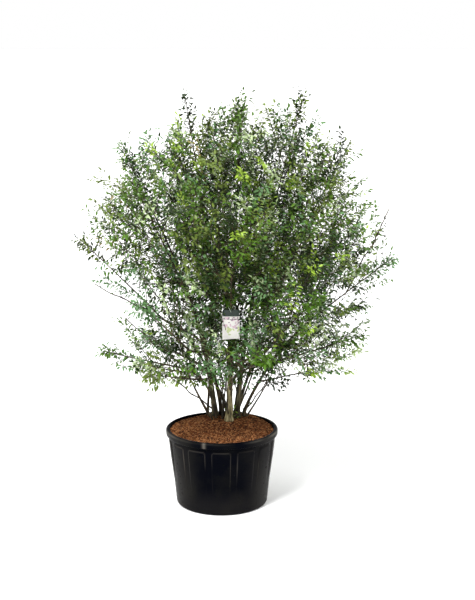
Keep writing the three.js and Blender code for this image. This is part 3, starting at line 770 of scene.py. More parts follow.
@dataclass
class Framework:
    """The stems, the boughs and the leaders of the masses, by the model's own rule."""

    soil_top: float = 0.5
    gap: float = 0.0003
    fan: Vector = field(default_factory=lambda: Vector((0.045, 0.120, 0.455)))
    root_lean: float = 0.84
    low_root_lean: float = 0.70
    low_lean: float = 50.0
    stem_rise: float = 0.12
    bough_rise: float = 0.3
    swing: float = 0.34
    flare: float = 0.45
    flare_length: float = 0.045
    tip_radius: float = 0.0065
    bough_share: float = 0.60
    leader_root: float = 0.0065
    leader_end: float = 0.0016
    leader_arch: float = 0.05
    leaf_length: float = 0.05
    model_leaf: float = 0.2
    slim_tip_share: float = 0.4
    taper_power: float = 0.8
    stem_steps: int = 6
    bough_steps: int = 5
    leader_steps: int = 3
    stems: dict[str, Limb] = field(default_factory=dict)
    boughs: dict[str, Limb] = field(default_factory=dict)
    masses: list[Mass] = field(default_factory=all_masses)

    def fan_point(self, heading: float, lean: float, distance: float) -> Vector:
        """Returns the point at a distance from the fan point, by heading and lean in degrees."""
        around = math.radians(heading)
        off = math.radians(lean)
        flat = math.sin(off) * distance
        return self.fan + Vector((math.cos(around) * flat, math.sin(around) * flat,
                                  math.cos(off) * distance))

    def lay_out(self, mass: Mass, base: Vector) -> None:
        """Sets where a mass begins, the middle of its space and the run of its leader.

        Args:
            mass: The mass to lay out.
            base: Where it begins.
        """
        tip = self.fan_point(mass.heading, mass.lean, mass.reach - self.model_leaf)
        mass.base = base
        mass.site = base.lerp(tip, 0.5)
        middle = mass.site + UP * ((tip - base).length * self.leader_arch)
        mass.course = (middle - base).normalized()
        end = self.fan_point(mass.heading, mass.lean, mass.reach - self.leaf_length)
        mass.leader = Limb(LimbCurve([base, middle, end]),
                           self.taper(self.leader_root, self.leader_end), self.leader_steps)

    @staticmethod
    def taper(root: float, tip: float) -> Callable[[float], float]:
        """Returns an even taper."""
        return lambda share: mix(root, tip, share)

    def bent_path(self, start: Vector, run: Vector, rise: float, mass: Mass) -> LimbCurve:
        """Draws a limb that sets off along a run and bends out to a mass.

        Args:
            start: Where it begins.
            run: The direction that it sets off in.
            rise: How far it keeps that direction, for each unit of length.
            mass: The mass that it carries.

        Returns:
            The limb's curve.
        """
        length = (start - mass.base).length
        return LimbCurve([start, start + run * (length * rise),
                          mass.base - mass.course * (length * self.swing), mass.base])

    def stem_limb(self, stem: Stem, mass: Mass) -> Limb:
        """Returns a stem that stands upright on its foot, then bends out towards its mass."""
        foot = Vector((*stem.foot, self.soil_top + self.gap))
        path = self.bent_path(foot, UP, self.stem_rise, mass)
        tip = min(self.tip_radius, stem.girth * self.slim_tip_share)

        def radius(share: float) -> float:
            """Returns the stem's radius, with its root flare."""
            flare = 1.0 + self.flare * math.exp(-share * path.length / self.flare_length)
            return mix(stem.girth / 2.0, tip, share ** self.taper_power) * flare

        return Limb(path, radius, self.stem_steps)

    def bough_limb(self, mass: Mass, stem: Limb) -> Limb:
        """Returns a bough that leaves its stem along the stem's run and bends out to its mass."""
        path = self.bent_path(stem.path.point(mass.start), stem.path.run(mass.start),
                              self.bough_rise, mass)
        root = max(stem.radius_at(mass.start) * self.bough_share, self.tip_radius)
        return Limb(path, self.taper(root, self.tip_radius), self.bough_steps)

    def build(self) -> None:
        """Works out every limb."""
        named = {mass.name: mass for mass in self.masses}
        for mass in self.masses:
            share = self.low_root_lean if mass.lean > self.low_lean else self.root_lean
            self.lay_out(mass, self.fan_point(mass.heading, mass.lean * share,
                                              mass.reach * mass.root))
        for stem in STEMS:
            self.stems[stem.name] = self.stem_limb(stem, named[stem.mass])
        for mass in self.masses:
            if mass.on:
                self.boughs[f"bough_{mass.name}"] = self.bough_limb(mass, self.stems[mass.on])
            if mass.side:
                self.lay_out(mass, self.stems[mass.side].path.point(mass.start))


@dataclass
class BarkedLimbs:
    """Stems and boughs as meshes with the bark's relief, in soft lumps and fine ridges.

    The pattern of the lumps is told by its rise, its scale round the limb and its scale along
    it, and that of the ridges by the two scales.
    """

    framework: Framework
    stem_sides: int = 22
    bough_sides: int = 16
    step: float = 0.014
    least_steps: int = 12
    lump: float = 0.055
    lump_pattern: Triple = (2.2, 1.3, 6.0)
    ridge: float = 0.00075
    ridge_pattern: Pair = (4.2, 24.0)
    ridge_fades: float = 0.012
    sway: float = 0.0035
    sway_scale: float = 9.0

    def limb_mesh(self, name: str, limb: Limb, sides: int, bark: Bark) -> Object:
        """Makes one limb.

        Args:
            name: The limb's name.
            limb: Its curve and taper.
            sides: How many columns of faces go round.
            bark: Its finish.

        Returns:
            The finished piece.
        """
        steps = max(self.least_steps, round(limb.path.length / self.step))
        frames = limb.path.frames(steps)
        start = limb.path.point(0.0)
        points = [start]
        for ring, (normal, binormal) in enumerate(frames):
            share = ring / steps
            centre = limb.path.point(share)
            loose = math.sin(math.pi * share) * self.sway
            centre = centre + normal * noise.noise(centre * self.sway_scale) * loose
            centre = centre + binormal * noise.noise(centre * self.sway_scale + UP * 7.0) * loose
            radius = limb.radius_at(share)
            for column in range(sides):
                angle = TURN * column / sides
                out = normal * math.cos(angle) + binormal * math.sin(angle)
                points.append(centre + out * self.relief(radius, out, centre))
        points.append(limb.path.point(1.0))
        return mesh_piece(name, points, capped_rings(steps + 1, sides), [bark.material()])

    def relief(self, radius: float, out: Vector, centre: Vector) -> float:
        """Returns the limb's radius with lumps and fine upright ridges."""
        rise, around, along = self.lump_pattern
        spot = Vector((out.x, out.y, out.z + centre.z * rise)) * around + centre * along
        swell = 1.0 + self.lump * noise.noise(spot)
        around, along = self.ridge_pattern
        fine = Vector((out.x * around, out.y * around, centre.z * along))
        return radius * swell + self.ridge * min(radius / self.ridge_fades, 1.0) * noise.noise(fine)

    def build(self) -> None:
        """Makes every stem and bough and puts each in its node's place."""
        barks = {stem.name: stem.bark for stem in STEMS}
        for name, limb in self.framework.stems.items():
            settle(self.limb_mesh(f"bark_{name}", limb, self.stem_sides, barks[name]),
                   [name])
        for name, limb in self.framework.boughs.items():
            settle(self.limb_mesh(f"bark_{name}", limb, self.bough_sides, BROWN_BARK),
                   [name])


# Pot and mulch


@dataclass
class Pot:
    """A round nursery pot with a rolled rim and thirteen raised panels.

    rim_foot and lip_inside are small steps back from the rim's face and up, and out from the
    inner wall and down, that round the rim's edges.
    """

    height: float = 0.480
    rim_radius: float = 0.350
    rim_band: float = 0.037
    rim_draft: float = 0.001
    rim_seam: float = 0.003
    rim_foot: tuple[Pair, ...] = ((0.006, 0.0), (0.003, 0.0015), (0.002, 0.004))
    lip_round: float = 0.012
    lip_flat: float = 0.004
    lip_inside: tuple[Pair, ...] = ((0.004, 0.0003), (0.001, 0.002), (0.0, 0.006))
    wall_top: float = 0.328
    wall: float = 0.006
    floor: float = 0.008
    inner_bend: float = 0.4
    base_radius: float = 0.283
    base_round: float = 0.020
    base_ring: float = 0.024
    panels: int = 13
    panel_share: float = 0.77
    panel_top: float = 0.418
    panel_foot: float = 0.130
    panel_rise: float = 0.007
    panel_edge: float = 0.005
    panel_corner: float = 0.020
    panel_shoulder: float = 0.03
    columns: int = 468
    round_steps: int = 6
    wall_steps: int = 65
    lip_steps: int = 8

    def wall_radius(self, height: float) -> float:
        """Returns the outer wall's radius at a height."""
        return self.base_radius + (self.wall_top - self.base_radius) * height / (
            self.height - self.rim_band)

    def profile(self) -> list[Pair]:
        """Returns the pot's section, from the underside's centre to the inner floor's centre."""
        points = [(0.0, 0.0), (self.base_radius * 0.5, 0.0),
                  (self.base_radius - self.base_ring, 0.0)]
        for step in range(1, self.round_steps + 1):
            angle = math.pi / 2.0 * step / self.round_steps
            radius = self.wall_radius(self.base_round) - self.base_round * (1.0 - math.sin(angle))
            points.append((radius, self.base_round * (1.0 - math.cos(angle))))
        band = self.height - self.rim_band
        for step in range(1, self.wall_steps + 1):
            height = mix(self.base_round, band - self.rim_seam, step / self.wall_steps)
            points.append((self.wall_radius(height), height))
        face = self.rim_radius - self.rim_draft
        points.append((self.wall_top + self.rim_draft, band - self.rim_draft))
        points += [(self.rim_radius - back, band + up) for back, up in self.rim_foot]
        points.append((face, self.height - self.lip_round - self.lip_flat))
        for step in range(1, self.lip_steps + 1):
            angle = math.pi / 2.0 * step / self.lip_steps
            points.append((face - self.lip_round * (1.0 - math.cos(angle)),
                           self.height - self.lip_round * (1.0 - math.sin(angle))))
        inner = self.wall_radius(self.height) - self.wall
        points += [(inner + out, self.height - down) for out, down in self.lip_inside]
        points += [(self.wall_radius(height) - self.wall, height)
                   for height in (self.inner_bend, self.floor)]
        return points + [(0.0, self.floor)]

    def inside_panel(self, angle: float, radius: float, height: float) -> float:
        """Returns how far a point of the wall lies inside its panel's edge, less than 0 outside.

        Args:
            angle: The angle round the pot.
            radius: The wall's radius there.
            height: The height there.

        Returns:
            The distance to the panel's edge, in metres.
        """
        pitch = TURN / self.panels
        off = (angle + math.pi / 2.0 + pitch / 2.0) % pitch - pitch / 2.0
        aside = pitch * self.panel_share / 2.0 * radius - abs(off) * radius
        below = self.panel_top - height
        corner = self.panel_corner
        if aside < corner and below < corner:
            return corner - math.hypot(corner - aside, corner - below)
        return min(aside, below)

    def panel_fade(self, height: float) -> float:
        """Returns how much of its full height a panel has, as it fades towards its foot."""
        return eased(self.panel_foot, self.panel_top - self.panel_shoulder, height) ** 0.7

    def panel_lift(self, angle: float, radius: float, height: float) -> float:
        """Returns how far the raised panels stand out of the wall.

        Args:
            angle: The angle round the pot.
            radius: The section's radius there.
            height: The height there.

        Returns:
            The extra radius, in metres.
        """
        if abs(radius - self.wall_radius(height)) > 1e-6 or height > self.panel_top:
            return 0.0
        inside = self.inside_panel(angle, radius, height)
        return self.panel_rise * self.panel_fade(height) * eased(0.0, self.panel_edge, inside)

    def build(self) -> None:
        """Makes the pot."""
        points, faces = turned(self.profile(), self.columns, self.panel_lift)
        piece = mesh_piece("pot_moulded", points, faces, [MouldedPlastic().material()])
        # Painted highlights, a painted glint, painted flank reflection and paling at the foot, kept
        # as a mesh attribute for the material.
        wear = PotSheen(self)
        layer = piece.data.attributes.new("wear", "FLOAT", "POINT")
        layer.data.foreach_set("value", [wear.at(point) for point in points])
        settle(piece, ["pot"])


@dataclass
class PotSheen:
    """Where the pot is painted paler, from 0 for plain plastic to 1 for full strength: a painted
    glint and a painted highlight on the rim's lip, painted highlights along the panel edges, a
    painted reflection on the flanks seen from the front, and paling towards the foot.

    A pair is the two places between which the mark comes in.
    """

    pot: Pot
    # A slow noise that makes the painted highlights patchy.
    patch_mean: float = 0.45
    patch_swing: float = 1.1
    patch_scale: float = 7.0
    # Painted highlight along the panel edges.
    edge_sheen: float = 0.34
    edge_rise: Pair = (-0.2, 0.6)
    edge_fall: Pair = (1.5, 0.8)
    lip: Pair = (0.012, 0.004)
    crest: Pair = (0.016, 0.007)
    # Painted highlight on the rim's lip, weaker at the front.
    rim_sheen: float = 0.85
    rim_front_share: float = 0.25
    # A painted glint on the rim at one angle.
    glint: float = 0.9
    glint_at: float = -1.876
    glint_width: float = 0.030
    flank_from: float = 0.35
    # Painted reflection that lightens the two flanks seen from the front, weaker higher up.
    flank_sheen: float = 0.16
    flank_sheen_top_share: float = 0.6
    flank_sheen_grows: Pair = (0.40, 0.10)
    # Paler towards the foot.
    foot_paling: float = 0.06
    foot_grows: Pair = (0.20, 0.05)

    def at(self, point: Vector) -> float:
        """Returns the paleness at a point: painted reflection on the flanks, paling at the foot,
        painted highlights on the panel edges and rim, and a painted glint on the rim.
        """
        pot = self.pot
        radius = math.hypot(point.x, point.y)
        around = math.atan2(point.y, point.x)
        patches = max(0.0, self.patch_mean + self.patch_swing * noise.noise(
            point * self.patch_scale))
        flank = eased(self.flank_from, 1.0, abs(point.x) / max(radius, pot.wall))
        if point.z > pot.height - pot.rim_band:
            # Painted highlight on the rim's lip, painted flank reflection and a painted glint.
            away = (around - self.glint_at) / self.glint_width
            crest = eased(*self.crest, pot.height - point.z)
            pale_sheen = self.rim_sheen * crest * patches * mix(self.rim_front_share, 1.0, flank)
            pale_sheen += self.flank_sheen * flank + self.glint * math.exp(-away ** 2)
            return min(1.0, eased(*self.lip, pot.rim_radius - radius) * pale_sheen)
        if radius < pot.wall_radius(point.z) - pot.wall / 2.0:
            return 0.0
        # Painted reflection on the flanks, weaker higher up, and paling towards the foot.
        fall = mix(self.flank_sheen_top_share, 1.0, eased(*self.flank_sheen_grows, point.z))
        paling = max(self.flank_sheen * flank * fall, self.foot_paling * eased(*self.foot_grows, point.z))
        if point.z > pot.panel_top:
            return paling
        inside = pot.inside_panel(around, radius, point.z) / pot.panel_edge
        # Painted highlight along the panel edges, patchy by a noise.
        line = eased(*self.edge_rise, inside) * eased(*self.edge_fall, inside)
        return paling + self.edge_sheen * line * patches * pot.panel_fade(point.z)


@dataclass
class Mulch:
    """Soil heaped round the clump under a layer of fine bark chips.

    Each kind of chip is told by its width, thickness and bend for a unit of length. Their
    heights over the soil and their sizes are told by the least and by how much more they may be.
    """

    pot: Pot
    gap: float = 0.0004
    foot_height: float = 0.30
    foot_round: float = 0.02
    edge_height: float = 0.466
    top_height: float = 0.500
    heap: Pair = (0.045, 0.140)
    flat: float = 0.128
    slope: float = 0.060
    sink: float = 0.004
    rough: float = 0.003
    rough_scale: float = 55.0
    rough_from: float = 0.03
    rings: int = 40
    columns: int = 120
    chips: int = 3300
    chip_kinds: tuple[Triple, ...] = ((0.42, 0.18, 0.02), (0.3, 0.2, 0.06), (0.55, 0.14, 0.0))
    chip_margin: float = 0.006
    chip_heights: Pair = (-0.001, 0.003)
    chip_tilts: Pair = (0.35, 0.3)
    chip_sizes: Pair = (0.007, 0.012)
    seed: int = 71

    def height_at(self, x: float, y: float) -> float:
        """Returns the soil's height at a place."""
        away = math.hypot(x - self.heap[0], y - self.heap[1])
        outside = max(0.0, away - self.flat) / self.slope
        return self.edge_height + (self.top_height - self.edge_height) * math.exp(-outside ** 2)

    def inner_radius(self) -> float:
        """Returns the pot's inner radius at the soil's edge."""
        return self.pot.wall_radius(self.edge_height) - self.pot.wall

    def soil(self) -> Object:
        """Makes the soil's closed body, with an uneven top."""
        edge = self.inner_radius() - self.gap
        profile = [(0.0, self.foot_height), (edge - self.foot_round, self.foot_height)]
        profile += [(edge * (1.0 - ring / self.rings), self.edge_height)
                    for ring in range(self.rings + 1)]
        points, faces = turned(profile, self.columns)
        for point in points:
            if point.z > self.foot_height + self.foot_round:
                inside = edge - math.hypot(point.x, point.y)
                bump = self.rough * noise.noise(point * self.rough_scale)
                bump *= eased(0.0, self.rough_from, inside)
                point.z = self.height_at(point.x, point.y) - self.sink + bump
        return mesh_piece("mulch_soil", points, faces, [
            CRUMB.material("mulch_soil", srgb(70, 42, 24))])

    def chip_shape(self, width: float, thickness: float, bend: float) -> Object:
        """Makes one splinter of bark of unit length.

        Args:
            width: Its width for each unit of length.
            thickness: Its thickness for each unit of length.
            bend: How far its middle stands up.

        Returns:
            The shape, which is taken away once it is used.
        """
        points = [Vector((-0.5, 0.0, 0.0))]
        for x, wide in ((-0.28, 0.85), (0.24, 1.0)):
            for side, level in ((-1, -1), (1, -0.8), (0.85, 1), (-0.9, 0.8)):
                points.append(Vector((x, side * wide * width / 2.0,
                                      level * thickness / 2.0 + bend)))
        points.append(Vector((0.5, 0.08, 0.0)))
        return mesh_piece("chip_shape", points, capped_rings(2, 4), [], smooth=False)

    def strew(self, tone: MulchTone, seed: int, shapes: list[Object]) -> None:
        """Strews the chips of one brown over the soil.

        Args:
            tone: Their brown.
            seed: The seed of their places.
            shapes: The shapes that a chip may have.
        """
        chance = random.Random(seed)
        places = []
        for _ in range(self.chips):
            reach = (self.inner_radius() - self.chip_margin) * math.sqrt(chance.random())
            angle = chance.random() * TURN
            x, y = math.cos(angle) * reach, math.sin(angle) * reach
            low, spread = self.chip_heights
            spot = Vector((x, y, self.height_at(x, y) + spread * chance.random() + low))
            turn = Vector((*(chance.gauss(0.0, tilt) for tilt in self.chip_tilts),
                           chance.random() * TURN))
            least, more = self.chip_sizes
            places.append((spot, turn, least + more * chance.random() ** 1.6))
        settle(scattered(tone.piece, places, shapes, CRUMB.material(tone.piece, tone.colour), seed),
               ["mulch"])

    def build(self) -> None:
        """Makes the soil and its chips."""
        settle(self.soil(), ["mulch"])
        shapes = [self.chip_shape(*sizes) for sizes in self.chip_kinds]
        for number, tone in enumerate(MulchTone):
            self.strew(tone, self.seed + number, shapes)
        for shape in shapes:
            bpy.data.objects.remove(shape)


# Foliage


@dataclass
class Twig:
    """A thin twig along a line of points."""

    points: list[Vector]
    root: float
    end: float

    def point(self, share: float) -> tuple[Vector, Vector]:
        """Returns the point at a share of the twig, and the twig's direction there."""
        last = len(self.points) - 1
        stretch = min(int(share * last), last - 1)
        start, end = self.points[stretch], self.points[stretch + 1]
        return start.lerp(end, share * last - stretch), (end - start).normalized()

    def length(self) -> float:
        """Returns the twig's length."""
        return sum((b - a).length for a, b in zip(self.points, self.points[1:]))


@dataclass(frozen=True)
class TagView:
    """The space in front of the label that the foliage leaves open to the front."""

    centre: Vector
    half_width: float
    half_height: float
    sight_rise: float = 0.21
    behind: float = 0.01

    def hides(self, point: Vector) -> bool:
        """Returns whether something at the point would stand before the label."""
        forward = self.centre.y - point.y
        level = self.centre.z + forward * self.sight_rise
        return (forward > -self.behind and abs(point.x - self.centre.x) < self.half_width
                and abs(point.z - level) < self.half_height)


@dataclass
class Crown:
    """The crown's rounded body, its underside and the space that each mass has in it.

    The body is told by rings of height, middle and half width.
    """

    framework: Framework
    view: TagView
    rings: tuple[Triple, ...] = (
        (0.62, 0.00, 0.22), (0.72, 0.02, 0.38), (0.78, 0.00, 0.46), (0.85, 0.08, 0.66),
        (0.97, 0.08, 0.76), (1.11, 0.21, 0.60), (1.23, 0.20, 0.72), (1.36, 0.13, 0.78),
        (1.55, 0.12, 0.86), (1.80, 0.05, 0.90), (1.96, 0.05, 0.83), (2.10, 0.08, 0.71),
        (2.225, 0.10, 0.61), (2.32, 0.13, 0.48), (2.40, 0.18, 0.36), (2.48, 0.22, 0.22),
        (2.56, 0.20, 0.05))
    middle_y: float = 0.110
    front: float = -0.79
    under_height: float = 0.705
    under_front: float = 0.25
    under_rise: float = 0.09
    under_bend: Pair = (0.22, 0.42)
    skirt_hang: float = 0.080
    overlap: float = 0.15
    rind: float = 0.5

    def __post_init__(self) -> None:
        """Notes the middles of the masses' spaces."""
        self.sites = np.array([mass.site for mass in self.framework.masses])

    def in_cell(self, number: int, point: Vector) -> bool:
        """Returns whether a point lies in a mass's own cell of the crown."""
        place = np.array(point)
        away = ((self.sites - place) ** 2).sum(axis=1)
        spread = 2.0 * np.linalg.norm(self.sites - self.sites[number], axis=1)
        spread[number] = 1.0
        beyond = (away - away[number]) / spread
        beyond[number] = 1.0
        return bool((beyond > -self.overlap).all())

    def nearest_mass(self, point: Vector) -> int:
        """Returns the number of the mass whose cell a point lies in."""
        return int(((self.sites - np.array(point)) ** 2).sum(axis=1).argmin())

    def depth(self, point: Vector) -> float:
        """Returns how far inside the crown's body a point lies, less than 0 outside."""
        heights, middles, halves = zip(*self.rings)
        middle = float(np.interp(point.z, heights, middles))
        half = float(np.interp(point.z, heights, halves, left=0.0, right=-1.0))
        return half - math.hypot(point.x - middle, point.y - self.middle_y)

    def depth_share(self, point: Vector) -> float:
        """Returns a point's depth as a share of the body's half width at its height."""
        heights, _, halves = zip(*self.rings)
        return self.depth(point) / float(np.interp(point.z, heights, halves))

    def outer_share(self, point: Vector) -> float:
        """Returns how far out in the crown a point is, from 0 to 1."""
        return 1.0 - min(max(self.depth(point) / self.rind, 0.0), 1.0)

    def outward(self, point: Vector) -> Vector:
        """Returns the direction in which a limb at a point fans out from the clump."""
        return (point - self.framework.fan).normalized()

    def above_underside(self, mass: Mass, point: Vector) -> bool:
        """Returns whether a point lies above the crown's underside."""
        fan = self.framework.fan
        away = math.hypot(point.x - fan.x, point.y - fan.y)
        rise = self.under_rise * eased(*self.under_bend, away)
        hang = self.skirt_hang if mass.name.startswith("skirt") else 0.0
        return point.z > self.under_height + self.under_front * (fan.y - point.y) + rise - hang

    def fits(self, number: int, points: Iterable[Vector], room: float) -> bool:
        """Returns whether all points are in the mass's space and clear of the label.

        Args:
            number: The mass's number.
            points: The points to test.
            room: How far inside the crown's body they have to be.

        Returns:
            True where all of them are.
        """
        mass = self.framework.masses[number]
        return all(self.in_cell(number, point) and self.depth(point) > room
                   and point.y > self.front and self.above_underside(mass, point)
                   and not self.view.hides(point)
                   for point in points)


@dataclass
class Density:
    """How many leaves each small cube of the crown holds, as crowded ones get no light.

    A pair is the two places between which the change comes in.
    """

    crown: Crown
    cube: float = 0.09
    outside: float = 10.5
    inside: float = 19.0
    inside_from: float = 0.50
    top_share: float = 0.60
    top_thins: Pair = (2.05, 2.40)
    low_share: float = 0.50
    low_thins: Pair = (1.35, 0.95)
    left_thins: Pair = (-0.12, -0.42)
    left_edge_share: float = 0.48
    left_edge_top: Pair = (2.00, 1.75)
    left_inner_share: float = 0.35
    left_inner_top: Pair = (2.45, 1.50)
    patch: float = 0.13
    patchy: float = 0.70
    held: dict[tuple[int, ...], int] = field(default_factory=dict)

    def cube_at(self, point: Vector) -> tuple[int, ...]:
        """Returns the cube that a point lies in."""
        return tuple(math.floor(value / self.cube) for value in point)

    def add(self, point: Vector) -> None:
        """Counts one leaf."""
        cube = self.cube_at(point)
        self.held[cube] = self.held.get(cube, 0) + 1

    def unevenness(self, point: Vector) -> float:
        """Returns a slow random swing between lit patches, above 0, and hollows, below it."""
        return noise.noise(point / self.patch)

    def most(self, point: Vector) -> float:
        """Returns how many leaves a cube may hold: fewer near the outside, top, foot and left."""
        left = eased(*self.left_thins, point.x)
        edge = mix(1.0, self.left_edge_share, left * eased(*self.left_edge_top, point.z))
        inner = mix(1.0, self.left_inner_share, left * eased(*self.left_inner_top, point.z))
        deep = eased(0.0, self.inside_from, self.crown.depth_share(point))
        most = mix(self.outside * edge, self.inside * inner, deep)
        most *= mix(1.0, self.top_share, eased(*self.top_thins, point.z))
        most *= mix(1.0, self.low_share, eased(*self.low_thins, point.z))
        return most * (1.0 + self.patchy * self.unevenness(point))

    def crowded(self, points: Iterable[Vector]) -> bool:
        """Returns whether any of the points lies in a cube that can take no more leaves."""
        return any(self.held.get(self.cube_at(point), 0) >= self.most(point) for point in points)


INTERNODE = 0.0125


@dataclass(frozen=True)
class Habit:
    """How shoots of one kind grow: their angle off their parent, their length and their bend.

    Angles are in radians, the least and the greatest, or for side twigs those at their leader's
    root and end. The lengths are the least and the greatest, as a share of the kind's reach, or
    in metres where it has none. A kind's root is its thickness there, counted in a fine shoot's
    radius. Leaves begin after the bare share of a shoot, at an even pitch.
    """

    spread: Pair = (0.0, 0.0)
    lengths: Pair = (1.0, 1.0)
    arch: float = 0.10
    steps: int = 3
    lift: float = 0.0
    fan_out: float = 0.0
    root: float = 1.6
    bare: float = 0.2
    pitch: float = INTERNODE
    spur: bool = False


SIDE_TWIG = Habit((1.15, 0.75), (0.8, 1.1), 0.08, 8, fan_out=0.6, bare=0.55, pitch=0.032)
SHOOT = Habit((0.30, 0.75), (0.7, 1.25), lift=0.15, fan_out=0.75)
WIDE_SHOOT = Habit((0.8, 1.5), (0.7, 1.25), lift=0.1)
SPUR = Habit((0.5, 0.9), (0.6, 1.2), 0.06, 2, fan_out=0.3, root=1.3, bare=0.25,
             pitch=INTERNODE * 0.95, spur=True)
TUFT = Habit((0.1, 0.6), (0.065, 0.065), 0.10, 2, root=1.0, bare=0.0, pitch=0.0065, spur=True)
LIMB_SHOOT = Habit((0.5, 1.1), (0.6, 1.25), 0.10, 4, lift=0.2, fan_out=0.3, root=2.4, bare=0.35)
LEADER_SHOOT = Habit((0.35, 0.70), (0.7, 1.2), 0.05, bare=0.1, pitch=INTERNODE * 0.9)
TIP_SHOOT = Habit(arch=0.06, steps=8, root=2.8, bare=0.25, pitch=0.010)
TIP_SPUR = Habit((0.4, 0.7), (0.03, 0.09), 0.06, 2, root=1.2, bare=0.1, pitch=0.010, spur=True)
SUCKER = Habit(arch=0.16, steps=8, root=1.4, pitch=0.011)
BARE_TWIG = Habit(arch=0.04, steps=14)
BARE_SPUR = Habit(lengths=(0.03, 0.10), steps=2)


@dataclass
class Foliage:
    """The crown's foliage: leaders grow side twigs, those grow shoots, and shoots carry leaves.

    A pair is the value at the root and at the end, or the least and the greatest. Swings are
    how widely angles scatter. shoot_end is a fine shoot's radius, and other thicknesses of
    twigs count in it.
    """

    crown: Crown
    density: Density
    seed: int = 3340
    shorter: float = 0.78
    tries: int = 6
    leaf_room: float = 0.035
    wild_share: float = 0.24
    wild_reach: float = 0.12
    shoot_end: float = 0.0010
    spur_end: float = 0.8
    stagger: float = 0.6
    spine_steps: int = 14
    side_twigs: int = 16
    side_places: Pair = (0.04, 0.86)
    side_swing: float = 0.45
    side_reach: float = 0.580
    side_shortens: float = 0.4
    side_root_share: float = 0.5
    side_end: float = 0.0012
    shoots_per_metre: float = 30.0 / 0.42
    shoot_places: Pair = (0.18, 0.97)
    shoot_swing: float = 0.4
    shoot_reach: float = 0.400
    shoot_tapers_off: float = 0.6
    shoot_root_share: float = 0.7
    wide_share: float = 0.28
    spurs: int = 3
    spur_places: Pair = (0.3, 0.8)
    spur_reach: float = 0.110
    spurs_from: float = 0.12
    tuft_share: float = 0.06
    tuft_twigs: int = 2
    tuft_bronze: float = 0.05
    limb_pitch: float = 0.045
    limb_reach: float = 0.30
    leader_shoots: int = 16
    leader_places: Pair = (0.05, 0.90)
    leader_reach: Pair = (0.15, 0.03)
    leader_bare: float = 0.1
    leader_pitch: float = INTERNODE * 0.8
    suckers: int = 16
    sucker_middle: Triple = (0.050, 0.140, 0.498)
    sucker_turn: float = 0.4
    sucker_flat: float = 0.8
    sucker_ring: Pair = (0.035, 0.125)
    sucker_short: Pair = (0.05, 0.10)
    sucker_tall: Pair = (0.28, 0.50)
    sucker_lean: Pair = (-0.35, 0.75)
    sucker_thick: Pair = (4.5, 8.5)
    sucker_shoots: int = 6
    sucker_reach: float = 0.16
    leaf_length: float = 0.042
    blade_kinds: tuple[Triple, ...] = ((0.34, 0.30, 0.06), (0.38, 0.14, 0.12), (0.29, 0.45, 0.16))
    leaf_sizes: Pair = (0.72, 1.12)
    end_leaf_sizes: Pair = (0.8, 1.05)
    leaf_angles: Pair = (0.6, 1.15)
    leaf_swing: float = 0.35
    leaf_droop: Pair = (-0.36, 0.24)
    leaf_roll: float = 0.50
    hollow: float = 0.25
    low_from: Pair = (1.9, 0.9)
    tips: tuple[Pair, ...] = (
        (0.15, 2.52), (0.49, 2.57), (0.38, 2.47), (-0.31, 2.36), (-0.43, 2.32), (-0.61, 2.26),
        (-0.54, 2.18), (-0.76, 2.04), (-0.80, 1.85), (-0.89, 1.67), (-0.77, 1.42), (-0.63, 1.16),
        (-0.78, 0.95), (-0.56, 0.83), (-0.35, 0.75), (0.74, 2.32), (0.60, 2.39), (0.79, 2.18),
        (0.79, 2.06), (0.94, 1.88), (1.09, 1.56), (1.03, 1.42), (0.93, 1.25), (0.93, 1.15),
        (0.90, 0.96), (0.77, 0.84), (0.43, 0.73), (-0.06, 2.42), (0.28, 2.42))
    tip_reach: float = 0.32
    tip_spurs: int = 8
    tip_places: Pair = (0.25, 0.92)
    bare_twigs: tuple[tuple[str, float, Triple], ...] = (
        ("bough_mid_left", 0.80, (-0.80, 0.05, 1.37)),
        ("bough_low_left", 0.80, (-0.61, 0.05, 1.16)),
        ("mid_right", 0.45, (1.03, 0.06, 1.84)),
        ("stem_left", 0.03, (-0.33, 0.08, 0.77)),
        ("stem_right_low", 0.05, (0.30, 0.05, 0.78)),
        ("stem_main", 0.02, (-0.02, 0.05, 0.90)))
    bare_length_share: float = 0.96
    bare_thick: Pair = (5.4, 3.2)
    bare_sway: float = 0.020
    bare_sway_scale: float = 9.0
    bare_spurs: int = 5
    bare_places: Pair = (0.4, 0.95)
    bare_spur_thick: Pair = (2.4, 1.6)
    bare_spur_spread: float = 0.7
    side_lines: list[Twig] = field(default_factory=list)
    shoot_lines: list[Twig] = field(default_factory=list)
    spur_lines: list[Twig] = field(default_factory=list)
    leaves: dict[LeafTone, list[Place]] = field(
        default_factory=lambda: {tone: [] for tone in LeafTone})

    def __post_init__(self) -> None:
        """Starts the growth's own run of chance."""
        self.framework = self.crown.framework
        self.chance = random.Random(self.seed)

    def bent_line(self, start: Vector, direction: Vector, length: float, habit: Habit
                  ) -> list[Vector]:
        """Returns a line that sets off in a direction and bends up towards its end."""
        end = start + direction * length + UP * (length * habit.arch)
        middle = start + direction * (length * 0.5)
        shares = [step / habit.steps for step in range(habit.steps + 1)]
        return [start.lerp(middle, share).lerp(middle.lerp(end, share), share) for share in shares]

    def grow_line(self, number: int, start: Vector, direction: Vector, length: float,
                  habit: Habit) -> list[Vector] | None:
        """Grows a line that keeps to the mass's space, shorter at each try.

        Args:
            number: The mass's number.
            start: Where the line begins.
            direction: Where it sets off to.
            length: Its full length.
            habit: The kind that it is of.

        Returns:
            The line, or None where none fits.
        """
        wild = self.chance.random() < self.wild_share
        room = self.leaf_room - (self.chance.random() * self.wild_reach if wild else 0.0)
        for _ in range(self.tries):
            line = self.bent_line(start, direction, length, habit)
            if self.crown.fits(number, (line[habit.steps // 2], line[-1]), room):
                return line
            length *= self.shorter
        return None

